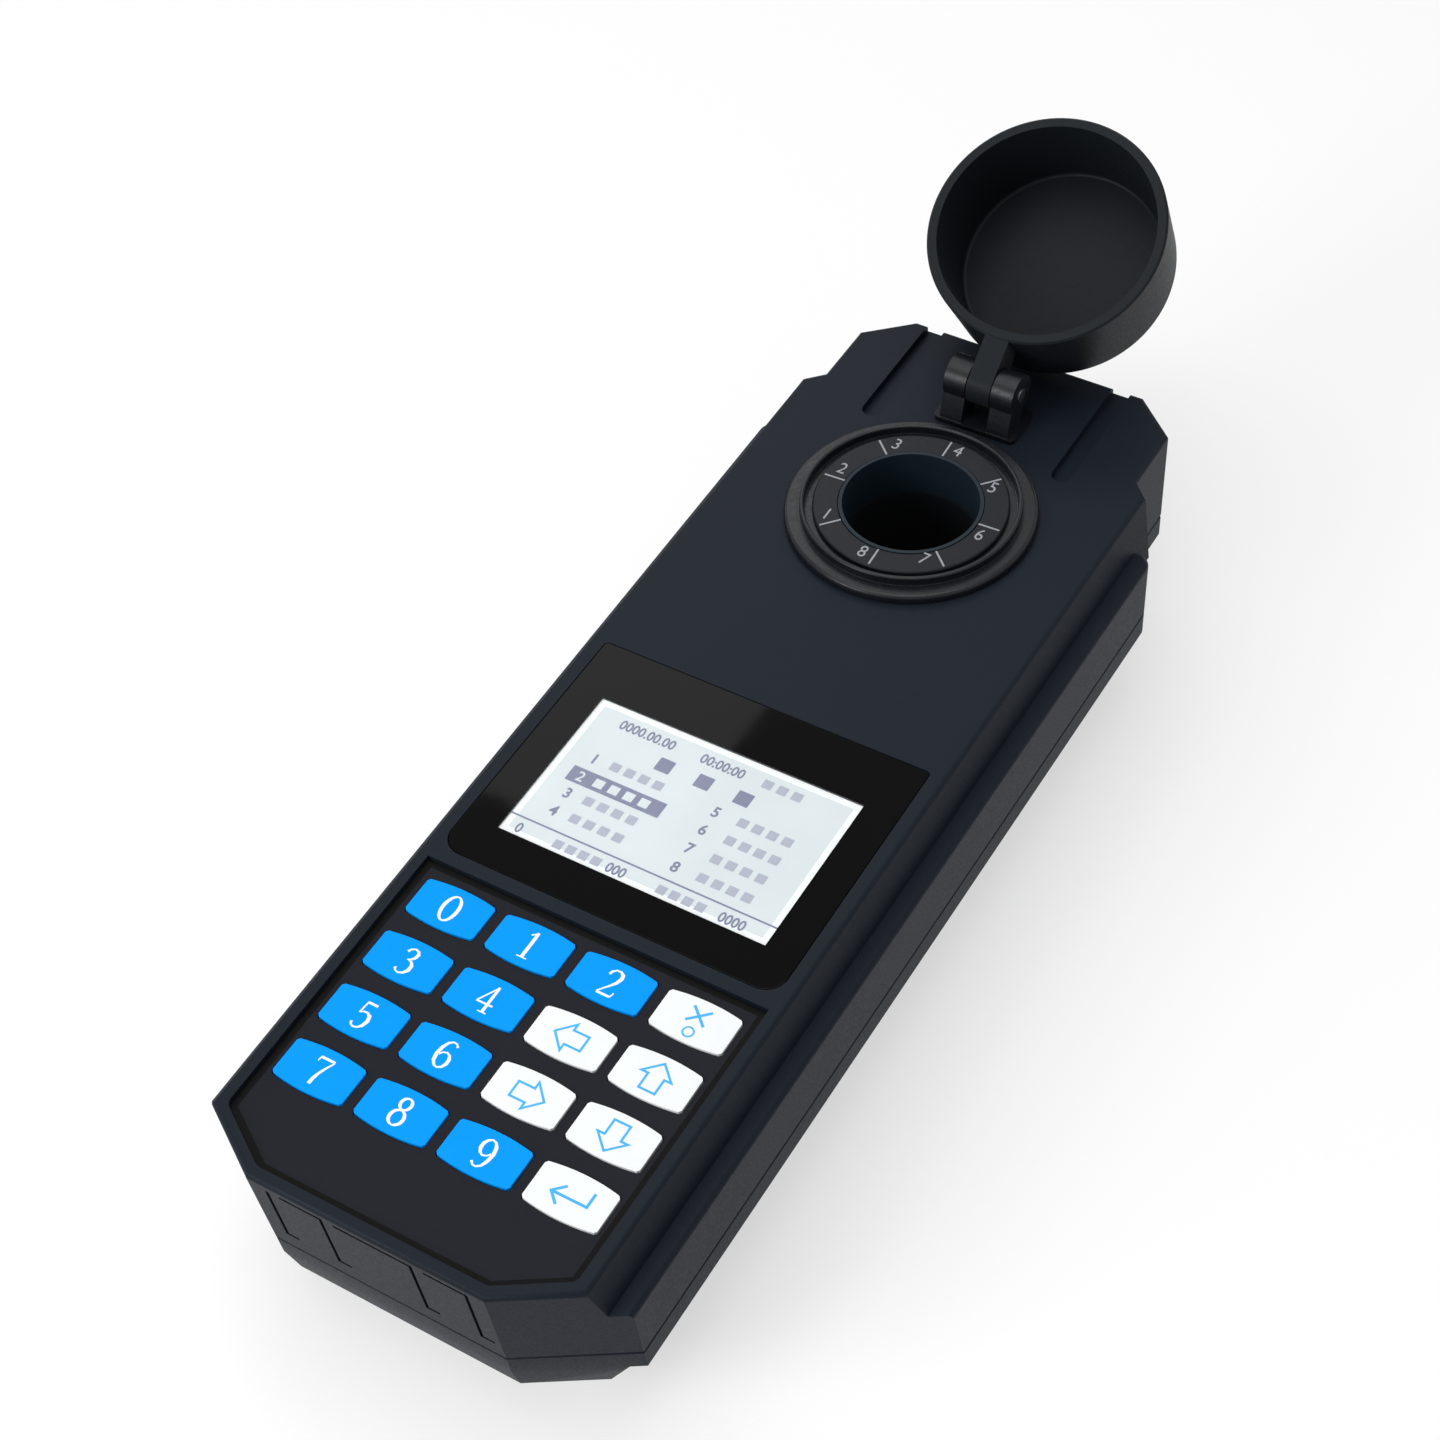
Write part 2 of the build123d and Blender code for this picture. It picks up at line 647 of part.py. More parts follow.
def lower_housing():
    """Lower half of the housing: side strip, sloping belly, battery bay and screw posts."""
    outside = side_walls(STRIP, SPLIT) + belly()
    hollow = prism(side_plan(), STRIP, SPLIT + 1, -WALL) - front_trim(WALL)
    body = outside - hollow - belly(WALL)

    head_room = CASE_SCREW_HEAD + SCREW_GAP
    case_posts = posts(CASE_PLACES, head_room + POST_WALL, BELLY, SPLIT)
    block_posts = posts(BLOCK_PLACES, BLOCK_POST_RADIUS, BELLY, BLOCK_UNDER)
    bosses = posts(DOOR_PLACES, POST_RADIUS, BELLY, DOOR_TOP + DOOR_BOSS_HEIGHT)
    seat_back = Pos(0, 0, WALL) * door_seat(WALL)
    bay = bay_block(BAY_WALL, BELLY, BAY_ROOF + BAY_WALL)
    feet = posts(both_sides(FOOT_PLACES), FOOT_RADIUS + WALL, BELLY, BELLY + WALL + FOOT_SEAT)
    added = Part() + [*case_posts, *block_posts, *bosses, seat_back, bay, *feet]
    body += added & outside

    body -= bay_block(0, DOOR_TOP + DOOR_LIP, BAY_ROOF)
    half_y = BAY_HALF_Y
    body -= block(-MOUTH_HALF_X, MOUTH_HALF_X, -BAY_CENTRE - half_y, -BAY_CENTRE + half_y,
                  DOOR_TOP - 1, BAY_ROOF - 1)
    body -= door_seat()
    body -= rods(both_sides(FOOT_PLACES), FOOT_RADIUS + SLIDE_GAP, BELLY - 1, BELLY + FOOT_SEAT)
    body -= rods(CASE_PLACES, head_room, BELLY - 1, SCREW_SEAT)
    body -= rods(CASE_PLACES, CASE_SCREW_SHANK + SCREW_GAP, SCREW_SEAT, SPLIT)
    bite = DOOR_SCREW_LENGTH - DOOR_THICK + SMALL_SCREW_HEAD_THICK + PILOT_ROOM
    body -= rods(DOOR_PLACES, SMALL_SCREW_SHANK + SHAFT_GAP, DOOR_TOP, DOOR_TOP + bite)
    return body


def slotted_head(radius, thick):
    """A round screw head with a slot, seated at height 0."""
    half = SCREW_SLOT / 2
    return rod(radius, -thick, 0) - block(-half, half, -radius, radius, -thick, -thick / 2)


def hex_head():
    """The six-sided head of the small screws inside the housing, seated at height 0."""
    return extrude(RegularPolygon(SMALL_SCREW_HEAD, 6), amount=-SMALL_SCREW_HEAD_THICK)


def screws(places, seat, head, shank, length):
    """Screws that point up from their seats at the given places."""
    screw = head + rod(shank, 0, length)
    return group(Pos(x, y, seat) * screw for x, y in places)


def case_screws():
    """The long screws that hold the two housing halves together."""
    head = slotted_head(CASE_SCREW_HEAD, CASE_SCREW_HEAD_THICK)
    return screws(CASE_PLACES, SCREW_SEAT, head, CASE_SCREW_SHANK, CASE_SCREW_LENGTH)


def board_screws():
    """The small screws that hold the main board to its posts."""
    return screws(BOARD_PLACES, BOARD_UNDER, hex_head(), SMALL_SCREW_SHANK, BOARD_SCREW_LENGTH)


def bracket_screws():
    """The small screws that hold the hinge bracket from inside the housing."""
    return screws(BRACKET_PLACES, DECK_UNDER, hex_head(), SMALL_SCREW_SHANK,
                  BRACKET_SCREW_LENGTH)


def door_screws():
    """The small screws that hold the battery door."""
    head = slotted_head(SMALL_SCREW_HEAD, SMALL_SCREW_HEAD_THICK)
    seat = BELLY + SMALL_SCREW_HEAD_THICK
    return screws(DOOR_PLACES, seat, head, SMALL_SCREW_SHANK, DOOR_SCREW_LENGTH)


def display_window():
    """The clear cover plate over the display."""
    return extrude(screen_face(DECK - SCREEN_THICK, 0), amount=SCREEN_THICK)


def lcd_glass():
    """The glass of the display, set into its frame."""
    edge = LCD_GLASS_EDGE - SEAT_GAP
    return view_block(edge, LCD_TOP - LCD_GLASS, LCD_TOP)


def lcd_frame():
    """The display module that stands on the main board and holds the glass."""
    body = view_block(LCD_MARGIN, BOARD_TOP, LCD_TOP)
    return body - view_block(LCD_GLASS_EDGE, LCD_TOP - LCD_GLASS, LCD_TOP + 1)


def keypad_overlay():
    """The dark film over the keypad floor with an opening for each key."""
    film = extrude(keypad_face(KEYPAD_FLOOR, -SEAT_GAP), amount=OVERLAY_THICK)
    return film - key_blocks(SLIDE_GAP, KEYPAD_FLOOR - 1, DECK)


def key():
    """A key cap with the flange that holds it under the keypad floor."""
    cap = extrude(Pos(0, 0, KEY_UNDER) * key_face(), amount=KEY_TOP - KEY_UNDER)
    half_x, half_y = KEY_WIDTH / 2 + KEY_FLANGE, KEY_LENGTH / 2 + KEY_FLANGE
    return cap + block(-half_x, half_x, -half_y, half_y, KEY_UNDER, KEY_SHOULDER)


def key_domes():
    """The snap domes on the main board, one under each key."""
    slope = degrees(atan((DOME_RADIUS - DOME_CROWN) / DOME_HEIGHT))
    dome = extrude(RegularPolygon(DOME_RADIUS, DOME_SIDES), amount=DOME_HEIGHT, taper=slope)
    return group(Pos(x, y, BOARD_TOP) * dome for _, x, y in key_places())


def main_board():
    """The circuit board under the display and the keypad."""
    half, corner = BOARD_HALF, BOARD_CORNER
    points = mirrored([
        (half - corner, -BOARD_FRONT), (half, -BOARD_FRONT + corner), (half, -BOARD_REAR),
    ])
    board = prism(points, BOARD_UNDER, BOARD_TOP)
    return board - rods(BOARD_PLACES, SMALL_SCREW_SHANK + SCREW_GAP, BOARD_UNDER, BOARD_TOP)


def well_collar():
    """The round collar on the deck with the ridge that seals against the light cover."""
    inner = WELL_OUTER + SLIDE_GAP
    seat = WELL_OUTER + WELL_FLANGE + SLIDE_GAP
    shelf = COLLAR_TOP - WELL_FLANGE_THICK
    ridge = RIDGE_RADIUS - RIDGE_WIDTH
    ridge_top = DECK + RIDGE_TOP
    groove = RING_SECTION / 2 + SEAT_GAP
    groove_top = DECK + RING_SECTION + SEAT_GAP
    return turned([
        (inner, DECK - COLLAR_DEPTH), (COLLAR_NECK, DECK - COLLAR_DEPTH), (COLLAR_NECK, DECK),
        (RING_RADIUS - groove, DECK), (RING_RADIUS - groove, groove_top),
        (RING_RADIUS + groove, groove_top), (RING_RADIUS + groove, DECK),
        (COLLAR_RADIUS, DECK), (COLLAR_RADIUS, COLLAR_TOP - COLLAR_EDGE),
        (COLLAR_RADIUS - COLLAR_EDGE / 3, COLLAR_TOP - COLLAR_EDGE / 3),
        (COLLAR_RADIUS - COLLAR_EDGE, COLLAR_TOP), (RIDGE_RADIUS, COLLAR_TOP),
        (RIDGE_RADIUS, ridge_top - RIDGE_EDGE), (RIDGE_RADIUS - RIDGE_EDGE, ridge_top),
        (ridge + RIDGE_EDGE, ridge_top), (ridge, ridge_top - RIDGE_EDGE), (ridge, COLLAR_TOP),
        (seat, COLLAR_TOP), (seat, shelf), (inner, shelf),
    ])


def collar_ring():
    """The flat rubber ring between the collar and the deck."""
    inner, outer = RING_RADIUS - RING_SECTION / 2, RING_RADIUS + RING_SECTION / 2
    top = DECK + RING_SECTION
    return turned([(inner, DECK), (outer, DECK), (outer, top), (inner, top)])


def collar_nut():
    """The notched nut that clamps the collar from inside the housing."""
    inner, outer = COLLAR_NECK + SHAFT_GAP, COLLAR_NECK + NUT_WIDTH
    low = DECK_UNDER - NUT_THICK
    body = turned([(inner, low), (outer, low), (outer, DECK_UNDER), (inner, DECK_UNDER)])
    notch = Pos(outer, 0, low + NUT_THICK / 2) * Box(NUT_NOTCH, NUT_NOTCH, NUT_THICK)
    return body - [Rot(0, 0, 360 * i / NUT_NOTCHES) * notch for i in range(NUT_NOTCHES)]


def index_dial():
    """The ring around the well that carries the alignment marks."""
    inner = BORE_RADIUS + WELL_RIM + SLIDE_GAP
    bevel = DIAL_BEVEL
    return turned([
        (inner, COLLAR_TOP), (DIAL_RADIUS, COLLAR_TOP), (DIAL_RADIUS, DIAL_TOP - bevel),
        (DIAL_RADIUS - bevel, DIAL_TOP), (inner, DIAL_TOP),
    ])


def beam_holes(radius):
    """Light paths from the sides and the rear into the well."""
    reach = 2 * BLOCK_HALF
    return [
        cross_rod(radius, -reach, reach, 0, BEAM),
        Pos(0, reach / 2, BEAM) * Rot(90, 0, 0) * Cylinder(radius, reach),
    ]


def sample_well():
    """The tube that takes the sample vial, hung from its flange in the collar."""
    shelf = COLLAR_TOP - WELL_FLANGE_THICK
    flange = WELL_OUTER + WELL_FLANGE
    rim = BORE_RADIUS + WELL_RIM
    under = WELL_BOTTOM - WELL_FLOOR
    tube = turned([
        (0, under), (WELL_OUTER, under), (WELL_OUTER, shelf), (flange, shelf),
        (flange, COLLAR_TOP), (rim, COLLAR_TOP), (rim, WELL_TOP), (BORE_RADIUS, WELL_TOP),
        (BORE_RADIUS, WELL_BOTTOM), (0, WELL_BOTTOM),
    ])
    return tube - beam_holes(BEAM_RADIUS)


def optics_block():
    """The block around the foot of the well with seats for the lamp and two sensors."""
    half = BLOCK_HALF
    body = block(-half, half, -half, half, BLOCK_UNDER, BLOCK_UNDER + BLOCK_HEIGHT)
    body = chamfer(body.edges().filter_by(Axis.Z), BLOCK_CORNER / 2)
    body -= rod(WELL_OUTER + SLIDE_GAP, BELLY, DECK)
    body -= beam_holes(BEAM_RADIUS)
    seat = CAN_LENGTH + SEAT_GAP
    body -= cross_rod(LAMP_RADIUS + SHAFT_GAP, -half, -half + seat, 0, BEAM)
    body -= cross_rod(SENSOR_RADIUS + SHAFT_GAP, half - seat, half, 0, BEAM)
    rear = Pos(0, half - seat / 2, BEAM) * Rot(90, 0, 0)
    return body - rear * Cylinder(SENSOR_RADIUS + SHAFT_GAP, seat)


def can(radius):
    """A lamp or sensor can along X: its body ends in a flange that seats on the block."""
    half = BLOCK_HALF
    body = cross_rod(radius, half - CAN_LENGTH, half, 0, BEAM)
    return body + cross_rod(radius + CAN_FLANGE, half, half + CAN_FLANGE_THICK, 0, BEAM)


def swing(angle):
    """A turn about the hinge pin."""
    return Pos(0, HINGE_Y, HINGE_Z) * Rot(angle, 0, 0) * Pos(0, -HINGE_Y, -HINGE_Z)


def light_cover():
    """The cup that shuts out light, with its arm and hinge knuckle, swung open."""
    low = COLLAR_TOP + COVER_LIFT
    top = low + COVER_HEIGHT
    outer = turned([
        (0, low), (COVER_RADIUS - COVER_EDGE, low), (COVER_RADIUS, low + COVER_EDGE),
        (COVER_TOP_RADIUS, top), (0, top),
    ])
    outer = fillet(outer.edges().filter_by(lambda e: level(e, top)), COVER_ROUND)
    roof = top - COVER_ROOF
    taper = (COVER_RADIUS - COVER_TOP_RADIUS) / COVER_HEIGHT
    mouth = COVER_RADIUS - COVER_WALL
    inner = turned([
        (0, low - 1), (mouth + taper, low - 1), (mouth - taper * (roof - low), roof), (0, roof),
    ])
    inner = fillet(inner.edges().filter_by(lambda e: level(e, roof)), COVER_INNER_ROUND)

    half = KNUCKLE_WIDTH / 2
    front = COVER_RADIUS - COVER_WALL
    run, rise = HINGE_Y - front, HINGE_Z - low
    touch = atan2(rise, run) - asin(KNUCKLE_RADIUS / hypot(run, rise))
    strap = [
        (front, low),
        (HINGE_Y + KNUCKLE_RADIUS * sin(touch), HINGE_Z - KNUCKLE_RADIUS * cos(touch)),
        (HINGE_Y, HINGE_Z + KNUCKLE_RADIUS), (front, DECK + ARM_TOP),
    ]
    arm = Plane.YZ * make_face(Polyline(*strap, close=True))
    arm = Pos(-half, 0, 0) * extrude(arm, amount=KNUCKLE_WIDTH)
    knuckle = cross_rod(KNUCKLE_RADIUS, -half, half, HINGE_Y, HINGE_Z)
    body = outer + arm + knuckle - inner
    body -= cross_rod(PIN_RADIUS + SHAFT_GAP, -half, half, HINGE_Y, HINGE_Z)
    return swing(-OPEN_ANGLE) * body


def hinge_bracket():
    """The bracket on the deck with two ears that hold the hinge pin."""
    half = EAR_OUTER + BRACKET_MARGIN
    base = rounded_block(half, BRACKET_FRONT, BRACKET_REAR, DECK, DECK + BRACKET_BASE,
                         BRACKET_ROUND)
    leg = [
        (BRACKET_FRONT, DECK), (HINGE_Y, DECK),
        (HINGE_Y + LEG_REAR, HINGE_Z), (HINGE_Y - LEG_FRONT, HINGE_Z),
    ]
    leg = Plane.YZ * make_face(Polyline(*leg, close=True))
    ears = []
    for x0, x1 in ((EAR_INNER, EAR_OUTER), (-EAR_OUTER, -EAR_INNER)):
        ears.append(Pos(x0, 0, 0) * extrude(leg, amount=x1 - x0))
        ears.append(cross_rod(KNUCKLE_RADIUS, x0, x1, HINGE_Y, HINGE_Z))
    body = base + ears
    body -= cross_rod(PIN_RADIUS + SHAFT_GAP, -half, half, HINGE_Y, HINGE_Z)
    bite = BRACKET_SCREW_LENGTH - DECK_WALL
    return body - rods(BRACKET_PLACES, SMALL_SCREW_SHANK + SHAFT_GAP, DECK, DECK + bite)


def hinge_pin():
    """The pin through the ears and the knuckle."""
    half = EAR_OUTER + PIN_PROUD
    return cross_rod(PIN_RADIUS, -half, half, HINGE_Y, HINGE_Z)


def battery_door():
    """The screwed cover of the battery bay, flush with the belly."""
    door = door_seat(-DOOR_GAP)
    head = SMALL_SCREW_HEAD + SCREW_GAP
    door -= rods(DOOR_PLACES, head, BELLY, BELLY + SMALL_SCREW_HEAD_THICK)
    return door - rods(DOOR_PLACES, SMALL_SCREW_SHANK + SCREW_GAP, BELLY, DOOR_TOP)


def battery_cell(index):
    """A round cell lying across the bay, turned end for end from its neighbour."""
    side = 1 if index % 2 else -1
    y = CELL_PLACES[index]
    half = CELL_LENGTH / 2
    can_end = half - CELL_NUB
    body = Pos(-side * CELL_NUB / 2, y, CELL_AXIS) * Rot(0, 90, 0) * Cylinder(
        CELL_RADIUS, CELL_LENGTH - CELL_NUB)
    x0, x1 = sorted((side * can_end, side * half))
    return body + cross_rod(CELL_NUB_RADIUS, x0, x1, y, CELL_AXIS)


def battery_contacts():
    """Flat contact plates on the end walls of the bay."""
    half, size = BAY_HALF_X - CONTACT_THICK / 2, CONTACT_SIZE
    return group(
        Pos(x, y, CELL_AXIS) * Box(CONTACT_THICK, size, size)
        for y in CELL_PLACES for x in (half, -half)
    )


def battery_springs():
    """The springs that press each cell's flat end, and the pads at its nub end, as plain bars."""
    half = BAY_HALF_X - CONTACT_THICK
    end = CELL_LENGTH / 2
    springs = []
    for index, y in enumerate(CELL_PLACES):
        for side in (1, -1):
            x0, x1 = sorted((side * (end + SEAT_GAP), side * half))
            nub_end = side == (1 if index % 2 else -1)
            radius = CELL_NUB_RADIUS if nub_end else SPRING_RADIUS
            bar = extrude(RegularPolygon(radius, SPRING_SIDES), amount=x1 - x0)
            springs.append(Pos(x0, y, CELL_AXIS) * Rot(0, 90, 0) * bar)
    return group(springs)


def rubber_feet():
    """Round feet set into the belly."""
    feet = []
    for x, y in both_sides(FOOT_PLACES):
        foot = rod(FOOT_RADIUS, BENCH, BELLY + FOOT_SEAT, x, y)
        feet.append(chamfer(foot.edges().filter_by(lambda e: level(e, BENCH)), FOOT_ROUND))
    return group(feet)


def build():
    """Every piece of the meter by name."""
    pieces = {
        "upper_housing": upper_housing(),
        "lower_housing": lower_housing(),
        "display_window": display_window(),
        "lcd_glass": lcd_glass(),
        "lcd_frame": lcd_frame(),
        "keypad_overlay": keypad_overlay(),
        "key_domes": key_domes(),
        "main_board": main_board(),
        "well_collar": well_collar(),
        "collar_ring": collar_ring(),
        "collar_nut": collar_nut(),
        "index_dial": index_dial(),
        "sample_well": sample_well(),
        "optics_block": optics_block(),
        "lamp": Rot(0, 0, 180) * can(LAMP_RADIUS),
        "transmission_sensor": can(SENSOR_RADIUS),
        "scatter_sensor": Rot(0, 0, 90) * can(SENSOR_RADIUS),
        "light_cover": light_cover(),
        "hinge_bracket": hinge_bracket(),
        "hinge_pin": hinge_pin(),
        "battery_door": battery_door(),
        "battery_contacts": battery_contacts(),
        "battery_springs": battery_springs(),
        "rubber_feet": rubber_feet(),
        "case_screws": case_screws(),
        "board_screws": board_screws(),
        "bracket_screws": bracket_screws(),
        "door_screws": door_screws(),
    }
    for index in range(CELL_COUNT):
        pieces[f"battery_cell_{index + 1}"] = battery_cell(index)
    cap = key()
    for name, x, y in key_places():
        pieces[name] = Pos(x, y, 0) * cap
    return pieces


if __name__ == "__main__":
    os.makedirs("parts", exist_ok=True)
    for node, piece in build().items():
        export_step(piece, f"parts/{node}.step")
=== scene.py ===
"""Finishes, printed marks and studio of a portable turbidity meter, round its CAD nodes."""
from math import cos, pi, radians, sin

import bmesh
import bpy
from bpy.props import (
    FloatProperty, FloatVectorProperty, IntProperty, PointerProperty, StringProperty,
)
from mathutils import Matrix, Vector


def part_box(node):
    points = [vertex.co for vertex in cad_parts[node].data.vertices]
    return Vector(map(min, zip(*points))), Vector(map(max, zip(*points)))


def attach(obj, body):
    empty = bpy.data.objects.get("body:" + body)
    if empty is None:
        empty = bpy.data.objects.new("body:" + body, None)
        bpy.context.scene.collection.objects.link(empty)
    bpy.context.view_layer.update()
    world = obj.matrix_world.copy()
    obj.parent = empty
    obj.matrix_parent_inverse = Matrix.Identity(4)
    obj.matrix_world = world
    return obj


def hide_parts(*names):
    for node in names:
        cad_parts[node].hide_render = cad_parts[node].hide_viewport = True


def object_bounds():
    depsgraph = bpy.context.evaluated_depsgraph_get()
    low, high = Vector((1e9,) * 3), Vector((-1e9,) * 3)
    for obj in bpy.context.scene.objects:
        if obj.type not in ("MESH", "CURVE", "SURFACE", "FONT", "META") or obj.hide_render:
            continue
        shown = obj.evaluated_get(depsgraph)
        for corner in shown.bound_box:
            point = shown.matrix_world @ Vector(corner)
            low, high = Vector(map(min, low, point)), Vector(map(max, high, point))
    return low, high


bl_info = {
    "name": "Portable turbidity meter",
    "version": (1, 0, 0),
    "blender": (4, 5, 0),
    "location": "3D View > Sidebar > Meter",
    "description": "Finishes, printed marks and studio for a handheld turbidity meter",
    "category": "Object",
}

MM = 0.001
HAIR = 0.002 * MM  # air between a printed mark and what it is printed on
RISE = 0.001 * MM  # height of a printed stroke over the one it crosses, so that they don't flicker
SEAM = 0.01 * MM  # air round the light guide and the clear pane in the window's opening
MERGE = 0.0005 * MM  # points nearer than this are one point
CAD_MERGE = 0.001 * MM  # the same for the meshes that come from the CAD part

ABS_IOR = 1.53
ACRYLIC_IOR = 1.49
WIPE_MARKS = 9 * MM  # spacing of the faint wipe marks on polished acrylic
LINE_LENGTH = 0.02  # how much slower a drawn metal's lines change along their length

SMOOTH_ANGLE = radians(28)  # edges sharper than this stay crisp
ROUNDED_ANGLE = radians(32)  # edges sharper than this are rounded
FLAT_ANGLE = radians(0.5)  # faces flatter than this to each other are one face
MITRE = 0.4  # least cosine at a stroke's corner, which keeps its mitre short
CAPITALS = 0.7  # height of the font's numerals as a share of its size

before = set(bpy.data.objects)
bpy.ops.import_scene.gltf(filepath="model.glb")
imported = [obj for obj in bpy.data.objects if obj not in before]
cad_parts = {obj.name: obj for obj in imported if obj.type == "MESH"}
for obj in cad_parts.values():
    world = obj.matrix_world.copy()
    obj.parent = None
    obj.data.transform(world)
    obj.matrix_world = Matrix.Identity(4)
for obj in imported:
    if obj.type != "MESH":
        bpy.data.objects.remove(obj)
CAD_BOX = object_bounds()

NUMBER_KEYS = [f"key_{digit}" for digit in range(10)]
ARROW_KEYS = {"key_right": 0, "key_up": 90, "key_left": 180, "key_down": 270}
WHITE_KEYS = [*ARROW_KEYS, "key_escape", "key_enter"]


# Key numerals in a book face with serifs, drawn in strokes of changing width. Each point is
# across, up and width, in hundredths of the numeral's height, from its middle.
TURN = [radians(15 * step) for step in range(25)]
NUMERALS = {
    "0": [[(25 * cos(a), 48 * sin(a), 5 + 7 * abs(cos(a))) for a in TURN]],
    "1": [[(1, -47, 11), (1, 30, 11), (1, 50, 9)], [(-16, 34, 5), (-6, 41, 5), (2, 50, 5)],
          [(-16, -48, 4), (18, -48, 4)]],
    "2": [[(-22, 25, 9), (-19, 36, 7), (-8, 46, 5), (6, 46, 7), (17, 38, 11), (20, 25, 12),
           (14, 6, 10), (1, -12, 7), (-13, -29, 5), (-25, -44, 5)],
          [(-25, -46, 8), (22, -46, 8)], [(22, -46, 5), (26, -29, 4)]],
    "3": [[(-20, 30, 9), (-15, 41, 6), (-3, 47, 5), (10, 43, 8), (16, 32, 11), (13, 18, 9),
           (3, 8, 6), (-6, 5, 4)],
          [(-3, 6, 4), (11, 2, 7), (20, -10, 11), (20, -28, 12), (10, -42, 8), (-4, -48, 5),
           (-16, -44, 5), (-22, -34, 9)]],
    "4": [[(9, 50, 9), (9, -47, 10)], [(9, 48, 5), (-27, -16, 5)], [(-29, -18, 6), (27, -18, 6)],
          [(-6, -48, 4), (23, -48, 4)]],
    "5": [[(-15, 44, 8), (19, 44, 8)], [(-15, 46, 5), (-19, 3, 5)],
          [(-19, 4, 4), (-8, 11, 5), (5, 11, 7), (17, 3, 11), (21, -14, 12), (16, -33, 10),
           (5, -45, 6), (-9, -48, 5), (-19, -42, 6), (-22, -33, 9)]],
    "6": [[(20, 36, 8), (11, 46, 5), (-1, 47, 5), (-13, 38, 8), (-21, 18, 11), (-24, -8, 12),
           (-20, -30, 11), (-10, -44, 7), (2, -48, 5), (14, -41, 8), (21, -27, 11), (21, -11, 11),
           (14, 2, 8), (3, 8, 5), (-9, 4, 5), (-19, -9, 4)]],
    "7": [[(-23, 44, 8), (25, 44, 8)], [(-22, 46, 5), (-25, 29, 4)],
          [(25, 42, 5), (11, 14, 7), (2, -10, 9), (-2, -28, 11), (-3, -49, 11)]],
    "8": [[(17 * cos(a), 27 + 20 * sin(a), 5 + 5 * abs(cos(a))) for a in TURN],
          [(22 * cos(a), -22 + 26 * sin(a), 5 + 6 * abs(cos(a))) for a in TURN]],
}
NUMERALS["9"] = [[(-x, -y, wide) for x, y, wide in line] for line in NUMERALS["6"]]


# Colours, nodes and finishes

def linear(code):
    """Turn an sRGB hex colour into linear RGBA."""
    parts = [int(code[start:start + 2], 16) / 255 for start in (1, 3, 5)]
    return [c / 12.92 if c <= 0.04045 else ((c + 0.055) / 1.055) ** 2.4 for c in parts] + [1.0]


def add(tree, kind, sockets=None, **settings):
    """Add a node with its settings; a socket takes a value or a link from another node."""
    made = tree.nodes.new(kind)
    for name, value in settings.items():
        setattr(made, name, value)
    for name, value in (sockets or {}).items():
        if isinstance(value, bpy.types.NodeSocket):
            tree.links.new(value, made.inputs[name])
        else:
            made.inputs[name].default_value = value
    return made


def start_finish(name):
    """A new material, its node tree and its shader."""
    material = bpy.data.materials.new(name)
    material.use_nodes = True
    return material, material.node_tree, material.node_tree.nodes["Principled BSDF"]


def grained(name, colour, tint, rough, grain, depth, cloud=30 * MM, spread=0.06, gleam=0.07):
    """A moulded or rolled surface: an even colour that drifts softly between two near shades,
    a fine grain of the given spacing and depth, and gloss that varies a little with it. The
    grain scatters most of what the plastic mirrors, so gleam is below a polished face's 0.5."""
    material, tree, shader = start_finish(name)
    place = add(tree, "ShaderNodeTexCoord").outputs["Object"]
    drift = add(tree, "ShaderNodeTexNoise", {"Vector": place, "Scale": 1 / cloud, "Detail": 3.0})
    shade = add(tree, "ShaderNodeMix", {
        "Factor": drift.outputs["Fac"], 6: linear(colour), 7: linear(tint)}, data_type="RGBA")
    pits = add(tree, "ShaderNodeTexNoise", {"Vector": place, "Scale": 1 / grain, "Detail": 2.0})
    gloss = add(tree, "ShaderNodeMapRange", {
        "Value": pits.outputs["Fac"], "From Min": 0.3, "From Max": 0.7,
        "To Min": rough - spread, "To Max": rough + spread})
    bump = add(tree, "ShaderNodeBump", {
        "Height": pits.outputs["Fac"], "Distance": depth, "Strength": 1.0})
    tree.links.new(shade.outputs[2], shader.inputs["Base Color"])
    tree.links.new(gloss.outputs["Result"], shader.inputs["Roughness"])
    tree.links.new(bump.outputs["Normal"], shader.inputs["Normal"])
    shader.inputs["IOR"].default_value = ABS_IOR
    shader.inputs["Specular IOR Level"].default_value = gleam
    return material


def metal(name, colour, rough, line, along):
    """A drawn or stamped metal with fine lines along one axis."""
    material, tree, shader = start_finish(name)
    place = add(tree, "ShaderNodeTexCoord").outputs["Object"]
    stretch = [1 / line] * 3
    stretch["XYZ".index(along)] = LINE_LENGTH / line
    lines = add(tree, "ShaderNodeMapping", {"Vector": place, "Scale": stretch})
    streaks = add(tree, "ShaderNodeTexNoise", {"Vector": lines.outputs["Vector"], "Scale": 1.0})
    gloss = add(tree, "ShaderNodeMapRange", {
        "Value": streaks.outputs["Fac"], "To Min": rough - 0.1, "To Max": rough + 0.1})
    bump = add(tree, "ShaderNodeBump", {
        "Height": streaks.outputs["Fac"], "Distance": 0.01 * MM, "Strength": 0.5})
    tree.links.new(gloss.outputs["Result"], shader.inputs["Roughness"])
    tree.links.new(bump.outputs["Normal"], shader.inputs["Normal"])
    shader.inputs["Base Color"].default_value = linear(colour)
    shader.inputs["Metallic"].default_value = 1.0
    return material


